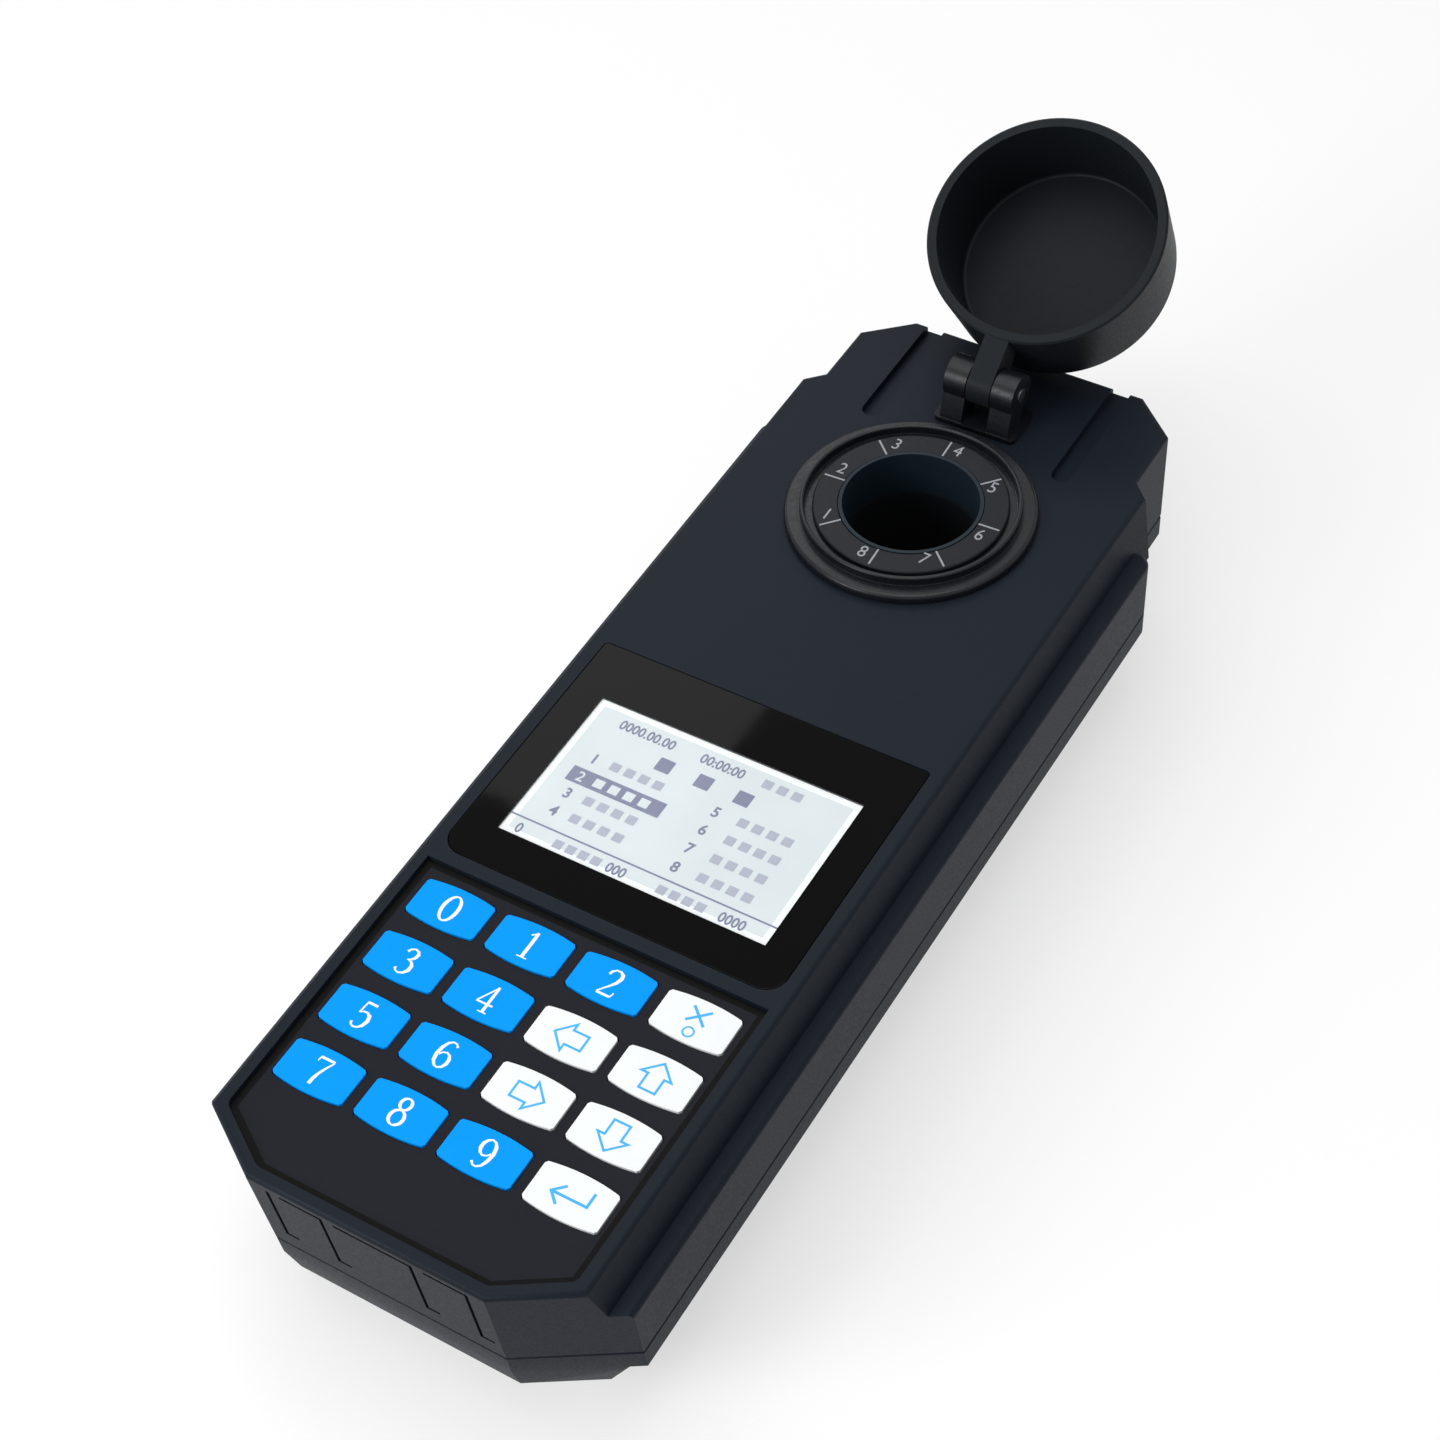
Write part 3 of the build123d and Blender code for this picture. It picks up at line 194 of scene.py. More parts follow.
def acrylic(name, colour, dullest):
    """Polished acrylic: a mirror gloss with faint wipe marks, as rough as dullest at most."""
    material, tree, shader = start_finish(name)
    place = add(tree, "ShaderNodeTexCoord").outputs["Object"]
    wipes = add(tree, "ShaderNodeTexNoise", {
        "Vector": place, "Scale": 1 / WIPE_MARKS, "Detail": 4.0})
    gloss = add(tree, "ShaderNodeMapRange", {
        "Value": wipes.outputs["Fac"], "To Min": 0.02, "To Max": dullest})
    tree.links.new(gloss.outputs["Result"], shader.inputs["Roughness"])
    shader.inputs["Base Color"].default_value = linear(colour)
    shader.inputs["IOR"].default_value = ACRYLIC_IOR
    return material, shader


def black_acrylic(name, colour):
    """Black back-printed acrylic: near black under its gloss."""
    material, shader = acrylic(name, colour, 0.06)
    shader.inputs["Specular IOR Level"].default_value = 0.07
    return material


def clear_acrylic(name):
    """Clear acrylic over the display: all but see-through, with a faint gloss of its own."""
    material, shader = acrylic(name, "#e8eef0", 0.08)
    shader.inputs["Alpha"].default_value = 0.05
    return material


def lit_display(name, colour, faint, glow):
    """Backlit display glass: an even glow that drifts softly between two near shades."""
    material, tree, shader = start_finish(name)
    place = add(tree, "ShaderNodeTexCoord").outputs["Object"]
    drift = add(tree, "ShaderNodeTexNoise", {"Vector": place, "Scale": 1 / (14 * MM)})
    shade = add(tree, "ShaderNodeMix", {
        "Factor": drift.outputs["Fac"], 6: linear(colour), 7: linear(faint)}, data_type="RGBA")
    tree.links.new(shade.outputs[2], shader.inputs["Base Color"])
    tree.links.new(shade.outputs[2], shader.inputs["Emission Color"])
    shader.inputs["Emission Strength"].default_value = glow
    shader.inputs["Roughness"].default_value = 0.35
    return material


def circuit_laminate(name):
    """Green lacquered laminate with a faint square track pattern under the lacquer."""
    material, tree, shader = start_finish(name)
    place = add(tree, "ShaderNodeTexCoord").outputs["Object"]
    tracks = add(tree, "ShaderNodeTexBrick", {
        "Vector": place, "Scale": 1 / (12 * MM), "Color1": linear("#12592c"),
        "Color2": linear("#0f4f27"), "Mortar": linear("#1d6b38"), "Mortar Size": 0.03})
    tree.links.new(tracks.outputs["Color"], shader.inputs["Base Color"])
    shader.inputs["Roughness"].default_value = 0.3
    return material


def bore_shade_plastic(name, upper, lower, height, blend=0.6 * MM):
    """Moulded plastic that turns matt and near black below the given height: painted shade deep in
    a bore.
    """
    material, tree, shader = start_finish(name)
    place = add(tree, "ShaderNodeTexCoord").outputs["Object"]
    level = add(tree, "ShaderNodeSeparateXYZ", {"Vector": place}).outputs["Z"]
    above = add(tree, "ShaderNodeMapRange", {
        "Value": level, "From Min": height - blend, "From Max": height + blend})
    shade = add(tree, "ShaderNodeMix", {
        "Factor": above.outputs["Result"], 6: linear(lower), 7: linear(upper)}, data_type="RGBA")
    gloss = add(tree, "ShaderNodeMapRange", {
        "Value": above.outputs["Result"], "To Min": 0.9, "To Max": 0.45})
    pits = add(tree, "ShaderNodeTexNoise", {"Vector": place, "Scale": 1 / (0.5 * MM)})
    bump = add(tree, "ShaderNodeBump", {"Height": pits.outputs["Fac"], "Distance": 0.02 * MM})
    tree.links.new(shade.outputs[2], shader.inputs["Base Color"])
    tree.links.new(gloss.outputs["Result"], shader.inputs["Roughness"])
    tree.links.new(bump.outputs["Normal"], shader.inputs["Normal"])
    shader.inputs["Specular IOR Level"].default_value = 0.15
    return material


def seen_rays(tree):
    """1 for what the camera sees, also in a mirror or through glass, and 0 for other light."""
    path = add(tree, "ShaderNodeLightPath")
    seen = add(tree, "ShaderNodeMath", {
        0: path.outputs["Is Camera Ray"], 1: path.outputs["Is Glossy Ray"]},
        operation="MAXIMUM")
    return add(tree, "ShaderNodeMath", {
        0: seen.outputs[0], 1: path.outputs["Is Transmission Ray"]},
        operation="MAXIMUM").outputs[0]


# Shapes

def smooth_group():
    """Geometry nodes that shade a mesh smooth except across its sharp edges."""
    group = bpy.data.node_groups.new("smooth_by_angle", "GeometryNodeTree")
    for way in ("INPUT", "OUTPUT"):
        group.interface.new_socket("Geometry", in_out=way, socket_type="NodeSocketGeometry")
    mesh = add(group, "NodeGroupInput").outputs[0]
    smooth = add(group, "GeometryNodeSetShadeSmooth", {"Geometry": mesh}, domain="FACE")
    angle = add(group, "GeometryNodeInputMeshEdgeAngle").outputs["Unsigned Angle"]
    sharp = add(group, "FunctionNodeCompare", {0: angle, 1: SMOOTH_ANGLE},
                operation="GREATER_THAN")
    crisp = add(group, "GeometryNodeSetShadeSmooth", {
        "Geometry": smooth.outputs[0], "Selection": sharp.outputs[0], "Shade Smooth": False},
        domain="EDGE")
    add(group, "NodeGroupOutput", {0: crisp.outputs[0]})
    return group


def soften(piece, width):
    """Round a piece's sharp edges a little and shade it smooth between them."""
    weld = piece.modifiers.new("weld", "WELD")
    weld.merge_threshold = CAD_MERGE
    if width:
        flat = piece.modifiers.new("flat", "DECIMATE")
        flat.decimate_type = "DISSOLVE"
        flat.angle_limit = FLAT_ANGLE
        edge = piece.modifiers.new("edge", "BEVEL")
        edge.width = width
        edge.segments = 2
        edge.limit_method = "ANGLE"
        edge.angle_limit = ROUNDED_ANGLE
        edge.material = -1
    group = bpy.data.node_groups.get("smooth_by_angle") or smooth_group()
    piece.modifiers.new("smooth", "NODES").node_group = group
    even = piece.modifiers.new("even", "WEIGHTED_NORMAL")
    even.weight = 100
    even.keep_sharp = True


def finish_node(name, material, width=0.0):
    """Give a node of the CAD part its finish and soft edges."""
    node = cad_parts[name]
    node.data.materials.clear()
    node.data.materials.append(material)
    soften(node, width)


def as_piece(name, bm, material, body="housing"):
    """Turn a bmesh into a finished piece that rides on a body."""
    bmesh.ops.remove_doubles(bm, verts=bm.verts, dist=MERGE)
    bmesh.ops.recalc_face_normals(bm, faces=bm.faces)
    mesh = bpy.data.meshes.new(name)
    bm.to_mesh(mesh)
    bm.free()
    mesh.materials.append(material)
    piece = bpy.data.objects.new(name, mesh)
    bpy.context.scene.collection.objects.link(piece)
    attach(piece, body)
    return piece


def rectangle(left, front, right, rear):
    """Corners of a rectangle seen from above, from the front left one."""
    return [(left, front), (right, front), (right, rear), (left, rear)]


def lit_area(sizes, inset=0.0):
    """Corners of the window's opening over the display."""
    low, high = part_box("lcd_glass")
    left, right = low.x + sizes.view_side + inset, high.x - sizes.view_side - inset
    front, rear = low.y + sizes.view_front + inset, high.y - sizes.view_rear - inset
    return rectangle(left, front, right, rear)


def raise_faces(bm, faces, height):
    """Give flat faces a thickness upwards."""
    grown = bmesh.ops.extrude_face_region(bm, geom=faces)
    tops = [part for part in grown["geom"] if isinstance(part, bmesh.types.BMVert)]
    bmesh.ops.translate(bm, verts=tops, vec=(0, 0, height))


def outline_face(bm, points, z):
    """A flat face from points."""
    return bm.faces.new([bm.verts.new((x, y, z)) for x, y in points])


def stroke(bm, points, width, z, closed=False):
    """A flat line along points, as quads joined at the corners. The width is one number, or
    one for each point."""
    points = [Vector(p) for p in points]
    count = len(points)
    widths = [width] * count if isinstance(width, float) else width
    sides = []
    for index, point in enumerate(points):
        before = points[index - 1] if index or closed else None
        after = points[(index + 1) % count] if index < count - 1 or closed else None
        ways = []
        if before is not None:
            ways.append((point - before).normalized())
        if after is not None:
            ways.append((after - point).normalized())
        way = sum(ways, Vector((0, 0))).normalized()
        side = Vector((-way.y, way.x)) * (widths[index] / 2 / max(MITRE, way.dot(ways[0])))
        sides.append([bm.verts.new((*(point + k * side), z)) for k in (1, -1)])
    ends = sides[1:] + sides[:1] if closed else sides[1:]
    return [bm.faces.new((a[0], a[1], b[1], b[0])) for a, b in zip(sides, ends)]


def numeral(bm, text, height, x, y, z, thick, squeeze=1.0, slim=0.0):
    """Add printed numerals, centred at a place, to a bmesh. Squeeze narrows them and slim
    thins their strokes, or thickens them where it is below zero."""
    words = bpy.data.curves.new("words", "FONT")
    words.body = text
    words.size = height / CAPITALS
    words.align_x = "CENTER"
    words.offset = -slim
    words.extrude = thick / 2
    words.resolution_u = 3
    holder = bpy.data.objects.new("words", words)
    bpy.context.scene.collection.objects.link(holder)
    mesh = bpy.data.meshes.new_from_object(
        holder.evaluated_get(bpy.context.evaluated_depsgraph_get()))
    bpy.data.objects.remove(holder)
    middle = Matrix.Translation((x, y - height / 2, z + thick / 2))
    mesh.transform(middle @ Matrix.Diagonal((squeeze, 1, 1, 1)))
    bm.from_mesh(mesh)
    bpy.data.meshes.remove(mesh)
    bpy.data.curves.remove(words)


# Settings

class MeterColours(bpy.types.PropertyGroup):
    """Colours of the meter's finishes, as sRGB hex codes."""

    housing: StringProperty(name="Housing", description="Moulded housing", default="#151b24")
    collar: StringProperty(name="Collar", description="Collar and dial", default="#0f1217")
    cover: StringProperty(name="Cover", description="Light cover and hinge", default="#171b1f")
    overlay: StringProperty(name="Overlay", description="Film around the keys", default="#16181e")
    blue: StringProperty(name="Blue keys", description="Number keys", default="#0098fb")
    white: StringProperty(name="White keys", description="Arrow keys", default="#eef1f2")
    symbol: StringProperty(name="Symbols", description="Symbols on white keys", default="#4bb0ea")
    window: StringProperty(name="Window", description="Black window border", default="#020203")
    display: StringProperty(name="Display", description="Lit display field", default="#cad4d7")
    ink: StringProperty(name="Display ink", description="Marks on the display", default="#7d8199")


class MeterSizes(bpy.types.PropertyGroup):
    """Sizes of the printed marks and edges."""

    edge: FloatProperty(name="Edge", description="Softened moulded edges",
                        default=0.18 * MM, unit="LENGTH")
    fine_edge: FloatProperty(name="Fine edge", description="Softened edges of small rings",
                             default=0.1 * MM, unit="LENGTH")
    print_thick: FloatProperty(name="Print", description="Thickness of printed marks",
                               default=0.02 * MM, unit="LENGTH")
    key_numeral: FloatProperty(name="Key numeral", description="Height of the key numerals",
                               default=5.6 * MM, unit="LENGTH")
    dial_numeral: FloatProperty(name="Dial numeral", description="Height of the dial numerals",
                                default=2.9 * MM, unit="LENGTH")
    # Width of the painted shade line round the film, under the rim of its recess
    rim_shade_line: FloatProperty(name="Edge line", description="Width of the line round the film",
                             default=1.25 * MM, unit="LENGTH")
    view_side: FloatProperty(name="View side", description="Glass hidden at each side",
                             default=0.35 * MM, unit="LENGTH")
    view_front: FloatProperty(name="View front", description="Glass hidden at the front",
                              default=1.2 * MM, unit="LENGTH")
    view_rear: FloatProperty(name="View rear", description="Glass hidden at the rear",
                             default=0.1 * MM, unit="LENGTH")
    pane: FloatProperty(name="Pane", description="Thickness of the clear pane",
                        default=0.3 * MM, unit="LENGTH")
    dial_marks: IntProperty(name="Dial marks", description="Number of marks on the dial",
                            default=8, min=2)
    tick_start: FloatProperty(name="Tick start", description="Inner radius of the dial's marks",
                              default=13.9 * MM, unit="LENGTH")
    tick_end: FloatProperty(name="Tick end", description="Outer radius of the dial's marks",
                            default=18.1 * MM, unit="LENGTH")


class MeterStage(bpy.types.PropertyGroup):
    """Studio around the meter."""

    camera: FloatVectorProperty(name="Camera", description="Where the camera stands",
                                default=(0.1718794, -0.3232743, 0.3552115), unit="LENGTH")
    turn: FloatVectorProperty(
        name="Turn", description="How the camera is turned", subtype="EULER",
        default=(radians(41.5496), radians(3.0410), radians(30.6895)))
    lens: FloatProperty(name="Lens", description="Focal length in millimetres", default=67.2513)
    backdrop: StringProperty(name="Backdrop", description="Floor colour", default="#fbfbfb")


# Pieces

class MeterOperator:
    """What every piece's operator shares."""

    bl_options = {"REGISTER"}

    def execute(self, context):
        self.make(context.scene.meter_colours, context.scene.meter_sizes)
        return {"FINISHED"}


class METER_OT_housing(MeterOperator, bpy.types.Operator):
    """Finish the two housing halves, the battery door and the feet"""

    bl_idname = "meter.housing"
    bl_label = "Housing"

    def make(self, colours, sizes):
        # ABS moulded in a spark-eroded tool: a soft satin with a sandy grain. The real grain
        # is 0.15 mm apart; it is drawn 0.45 mm apart so that it shows.
        shell = grained("textured_abs", colours.housing, "#181e26", 0.46, 0.45 * MM, 0.012 * MM)
        finish_node("upper_housing", shell, sizes.edge)
        finish_node("lower_housing", shell, sizes.edge)
        finish_node("battery_door", shell, sizes.edge)
        # Soft black rubber: dull, with a dusty bloom
        rubber = grained("foot_rubber", "#161616", "#1e1e1e", 0.85, 0.6 * MM, 0.02 * MM, 4 * MM)
        finish_node("rubber_feet", rubber)
        finish_node("collar_ring", rubber)


class METER_OT_collar(MeterOperator, bpy.types.Operator):
    """Finish the collar, the dial, the well and what holds them inside"""

    bl_idname = "meter.collar"
    bl_label = "Collar and well"

    def make(self, colours, sizes):
        # The same plastic moulded in a polished tool: smoother, so the ridge carries a glint
        plastic = grained("satin_abs", colours.collar, "#12151a", 0.3, 0.8 * MM, 0.004 * MM,
                          gleam=0.2)
        finish_node("well_collar", plastic, sizes.edge)
        # A duller inset ring of the same plastic, which the pale marks stand out on
        dial = grained("dial_abs", "#15181d", "#181b20", 0.42, 0.6 * MM, 0.006 * MM, gleam=0.12)
        finish_node("index_dial", dial, sizes.fine_edge)
        # The well's lip is moulded like the collar; below it the bore is painted near black, a
        # painted shade where the well lies in shadow
        bore_shade = bore_shade_plastic("well_painted_shade", "#17222a", "#05070b", -7 * MM)
        finish_node("sample_well", bore_shade, sizes.fine_edge)
        # Plain black plastic, never seen with the housing shut
        nut = grained("nut_abs", "#1b1b1d", "#202022", 0.5, 0.6 * MM, 0.01 * MM)
        finish_node("collar_nut", nut)
        finish_node("optics_block", nut)


class METER_OT_dial(MeterOperator, bpy.types.Operator):
    """Print the marks and numbers on the dial"""

    bl_idname = "meter.dial"
    bl_label = "Dial marks"

    # Middle of each number, in mm
    places = {"1": (-12.4, -10.0), "2": (-15.8, 2.2), "3": (-9.8, 12.9), "4": (1.5, 16.5),
              "5": (11.9, 10.6), "6": (15.4, -1.8), "7": (9.2, -12.0), "8": (-1.7, -15.6)}
    first_mark = radians(2.5)
    mark_width = 0.36 * MM

    def make(self, colours, sizes):
        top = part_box("index_dial")[1].z + HAIR
        # Pad-printed ink: thin pale grey with a slightly broken film
        ink = grained("dial_ink", "#a0a4aa", "#8e9298", 0.5, 0.3 * MM, 0.004 * MM, 1.5 * MM)
        bm = bmesh.new()
        marks = []
        for index in range(sizes.dial_marks):
            way = 2 * pi * index / sizes.dial_marks + self.first_mark
            ends = [(r * cos(way), r * sin(way)) for r in (sizes.tick_start, sizes.tick_end)]
            marks += stroke(bm, ends, self.mark_width, top)
        raise_faces(bm, marks, sizes.print_thick)
        for text, (x, y) in self.places.items():
            numeral(bm, text, sizes.dial_numeral, x * MM, y * MM, top, sizes.print_thick,
                    squeeze=0.86)
        as_piece("dial_marks", bm, ink)


class METER_OT_cover(MeterOperator, bpy.types.Operator):
    """Finish the light cover, its hinge and the pin"""

    bl_idname = "meter.cover"
    bl_label = "Light cover"

    def make(self, colours, sizes):
        # ABS from a tool with a fine blasted face: dull inside and out, brighter on its rim
        shell = grained("blasted_abs", colours.cover, "#1a1e22", 0.45, 0.5 * MM, 0.008 * MM)
        finish_node("light_cover", shell, sizes.edge)
        # The ears are smoother and darker, so their round ends carry a soft light line
        ears = grained("hinge_abs", "#0c0f13", "#101317", 0.34, 0.7 * MM, 0.005 * MM, gleam=0.2)
        finish_node("hinge_bracket", ears, sizes.edge)
        # Blackened steel, drawn along the pin
        finish_node("hinge_pin", metal("dark_pin_steel", "#5a5c60", 0.4, 0.1 * MM, "X"), 0.2 * MM)


class METER_OT_keys(MeterOperator, bpy.types.Operator):
    """Finish the keypad and print its numbers and symbols"""

    bl_idname = "meter.keys"
    bl_label = "Keypad"

    # Widths of the symbols' lines
    line = 0.5 * MM
    outline = 0.42 * MM
    fine_line = 0.32 * MM

    def make(self, colours, sizes):
        # Polyester film with a fine matt hard coat
        film = grained("polyester_film", colours.overlay, "#191b21", 0.5, 0.4 * MM, 0.005 * MM)
        finish_node("keypad_overlay", film, 0.05 * MM)
        self.rim_shade_line(sizes)
        # Key caps under the same film: even, saturated ink seen through a satin coat
        blue = grained("blue_film", colours.blue, "#0092f3", 0.5, 0.4 * MM, 0.004 * MM, 8 * MM,
                       gleam=0.05)
        white = grained("white_film", colours.white, "#e6eaec", 0.5, 0.4 * MM, 0.004 * MM, 8 * MM,
                        gleam=0.05)
        for name in NUMBER_KEYS + WHITE_KEYS:
            finish_node(name, white if name in WHITE_KEYS else blue, 0.08 * MM)
        # Screen ink: smooth and even
        pale = grained("white_ink", "#f4f8fa", "#e9f1f6", 0.45, 0.5 * MM, 0.003 * MM, 2 * MM)
        symbol = grained("blue_ink", colours.symbol, "#46b0ea", 0.45, 0.5 * MM, 0.003 * MM, 2 * MM)
        for name in NUMBER_KEYS:
            bm = bmesh.new()
            faces = self.number(bm, NUMERALS[name[-1]], sizes.key_numeral / 100)
            self.print_on(name, bm, faces, sizes)
            as_piece(f"legend_{name}", bm, pale, f"{name}_cap")
        for name in WHITE_KEYS:
            bm = bmesh.new()
            if name in ARROW_KEYS:
                faces = self.arrow(bm, ARROW_KEYS[name])
            elif name == "key_escape":
                faces = self.cross(bm)
            else:
                faces = self.hook_arrow(bm)
            self.print_on(name, bm, faces, sizes)
            as_piece(f"legend_{name}", bm, symbol, f"{name}_cap")

    def rim_shade_line(self, sizes):
        """A line painted near black round the film: painted shade where the rim of its recess
        shades the film.
        """
        bm = bmesh.new()
        bm.from_mesh(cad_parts["keypad_overlay"].data)
        bmesh.ops.remove_doubles(bm, verts=bm.verts, dist=CAD_MERGE)
        bm.normal_update()
        # Only the film's top face stays
        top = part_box("keypad_overlay")[1].z - 0.01 * MM
        under = [face for face in bm.faces
                 if face.normal.z < 0.9 or face.calc_center_median().z < top]
        bmesh.ops.delete(bm, geom=under, context="FACES")
        rims = set(bmesh.ops.inset_region(
            bm, faces=list(bm.faces), thickness=sizes.rim_shade_line, use_boundary=True,
            use_even_offset=True)["faces"])
        # Of the lines round the film and round each key's opening, only the outer one stays
        line = set()
        edge = [max(rims, key=lambda face: face.calc_center_median().x)]
        while edge:
            face = edge.pop()
            line.add(face)
            edge += [near for side in face.edges for near in side.link_faces
                     if near in rims and near not in line]
        rest = [face for face in bm.faces if face not in line]
        bmesh.ops.delete(bm, geom=rest, context="FACES")
        bmesh.ops.translate(bm, verts=bm.verts, vec=(0, 0, HAIR))
        raise_faces(bm, list(bm.faces), sizes.print_thick)
        # Near black painted shade round the film, where the rim shadows it
        ink = grained("painted_rim_shade", "#050506", "#08080a", 0.6, 0.5 * MM, 0.003 * MM, 4 * MM)
        as_piece("film_rim_shade", bm, ink)

    def print_on(self, name, bm, faces, sizes):
        """Give a mark drawn round the origin its thickness and put it on the top of a key."""
        raise_faces(bm, faces, sizes.print_thick)
        low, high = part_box(name)
        place = ((low.x + high.x) / 2, (low.y + high.y) / 2, high.z + HAIR)
        bmesh.ops.translate(bm, verts=bm.verts, vec=place)

    def number(self, bm, lines, unit):
        """A numeral in strokes, each one a hair over the one before."""
        faces = []
        for index, line in enumerate(lines):
            faces += stroke(bm, [(x * unit, y * unit) for x, y, wide in line],
                            [wide * unit for x, y, wide in line], index * RISE)
        return faces

    def arrow(self, bm, turn):
        """A block arrow drawn as an outline."""
        shape = [(3.0, 0), (0.3, 2.8), (0.3, 1.5), (-2.7, 1.5), (-2.7, -1.5), (0.3, -1.5),
                 (0.3, -2.8)]
        spin = Matrix.Rotation(radians(turn), 2)
        return stroke(bm, [spin @ Vector(p) * MM for p in shape], self.outline, 0, closed=True)

    def cross(self, bm):
        """A cross over a small ring."""
        faces = []
        for side in (1, -1):
            ends = [Vector((-1.7 * side, -0.4)) * MM, Vector((1.7 * side, 2.7)) * MM]
            faces += stroke(bm, ends, self.line, side * RISE / 2)
        ways = [step * pi / 8 for step in range(16)]
        ring = [Vector((0.95 * cos(way), 0.95 * sin(way) - 2.3)) * MM for way in ways]
        return faces + stroke(bm, ring, self.fine_line, 0, closed=True)

    def hook_arrow(self, bm):
        """An arrow that comes down and turns left."""
        line = [Vector(p) * MM for p in ((3.2, 2.2), (3.2, -0.5), (-3.1, -0.5))]
        head = [Vector(p) * MM for p in ((-1.4, 1.3), (-3.3, -0.5), (-1.4, -2.3))]
        return stroke(bm, line, self.line, 0.0) + stroke(bm, head, self.line, RISE)


class METER_OT_window(MeterOperator, bpy.types.Operator):
    """Make the black window border with the clear pane in it"""

    bl_idname = "meter.window"
    bl_label = "Window"

    front_corner = 4.0 * MM
    rear_corner = 0.8 * MM

    def make(self, colours, sizes):
        low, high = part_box("display_window")
        middle = (low.y + high.y) / 2
        bm = bmesh.new()
        outline_face(bm, rectangle(low.x, low.y, high.x, high.y), low.z)
        for way, round_by in ((-1, self.front_corner), (1, self.rear_corner)):
            ends = [vert for vert in bm.verts if (vert.co.y - middle) * way > 0]
            bmesh.ops.bevel(bm, geom=ends, offset=round_by, segments=6, profile=0.5,
                            affect="VERTICES", material=-1)
        outer = list(bm.edges)
        bmesh.ops.delete(bm, geom=list(bm.faces), context="FACES_ONLY")
        inner = list(outline_face(bm, lit_area(sizes), low.z).edges)
        bmesh.ops.delete(bm, geom=list(bm.faces), context="FACES_ONLY")
        ring = bmesh.ops.bridge_loops(bm, edges=outer + inner)["faces"]
        raise_faces(bm, ring, high.z - low.z)
        border = as_piece("window_border", bm, black_acrylic("black_acrylic", colours.window))
        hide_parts("display_window")
        soften(border, 0.12 * MM)
        bm = bmesh.new()
        face = outline_face(bm, lit_area(sizes, SEAM), high.z - sizes.pane)
        raise_faces(bm, [face], sizes.pane - SEAM)
        as_piece("window_pane", bm, clear_acrylic("clear_acrylic"))


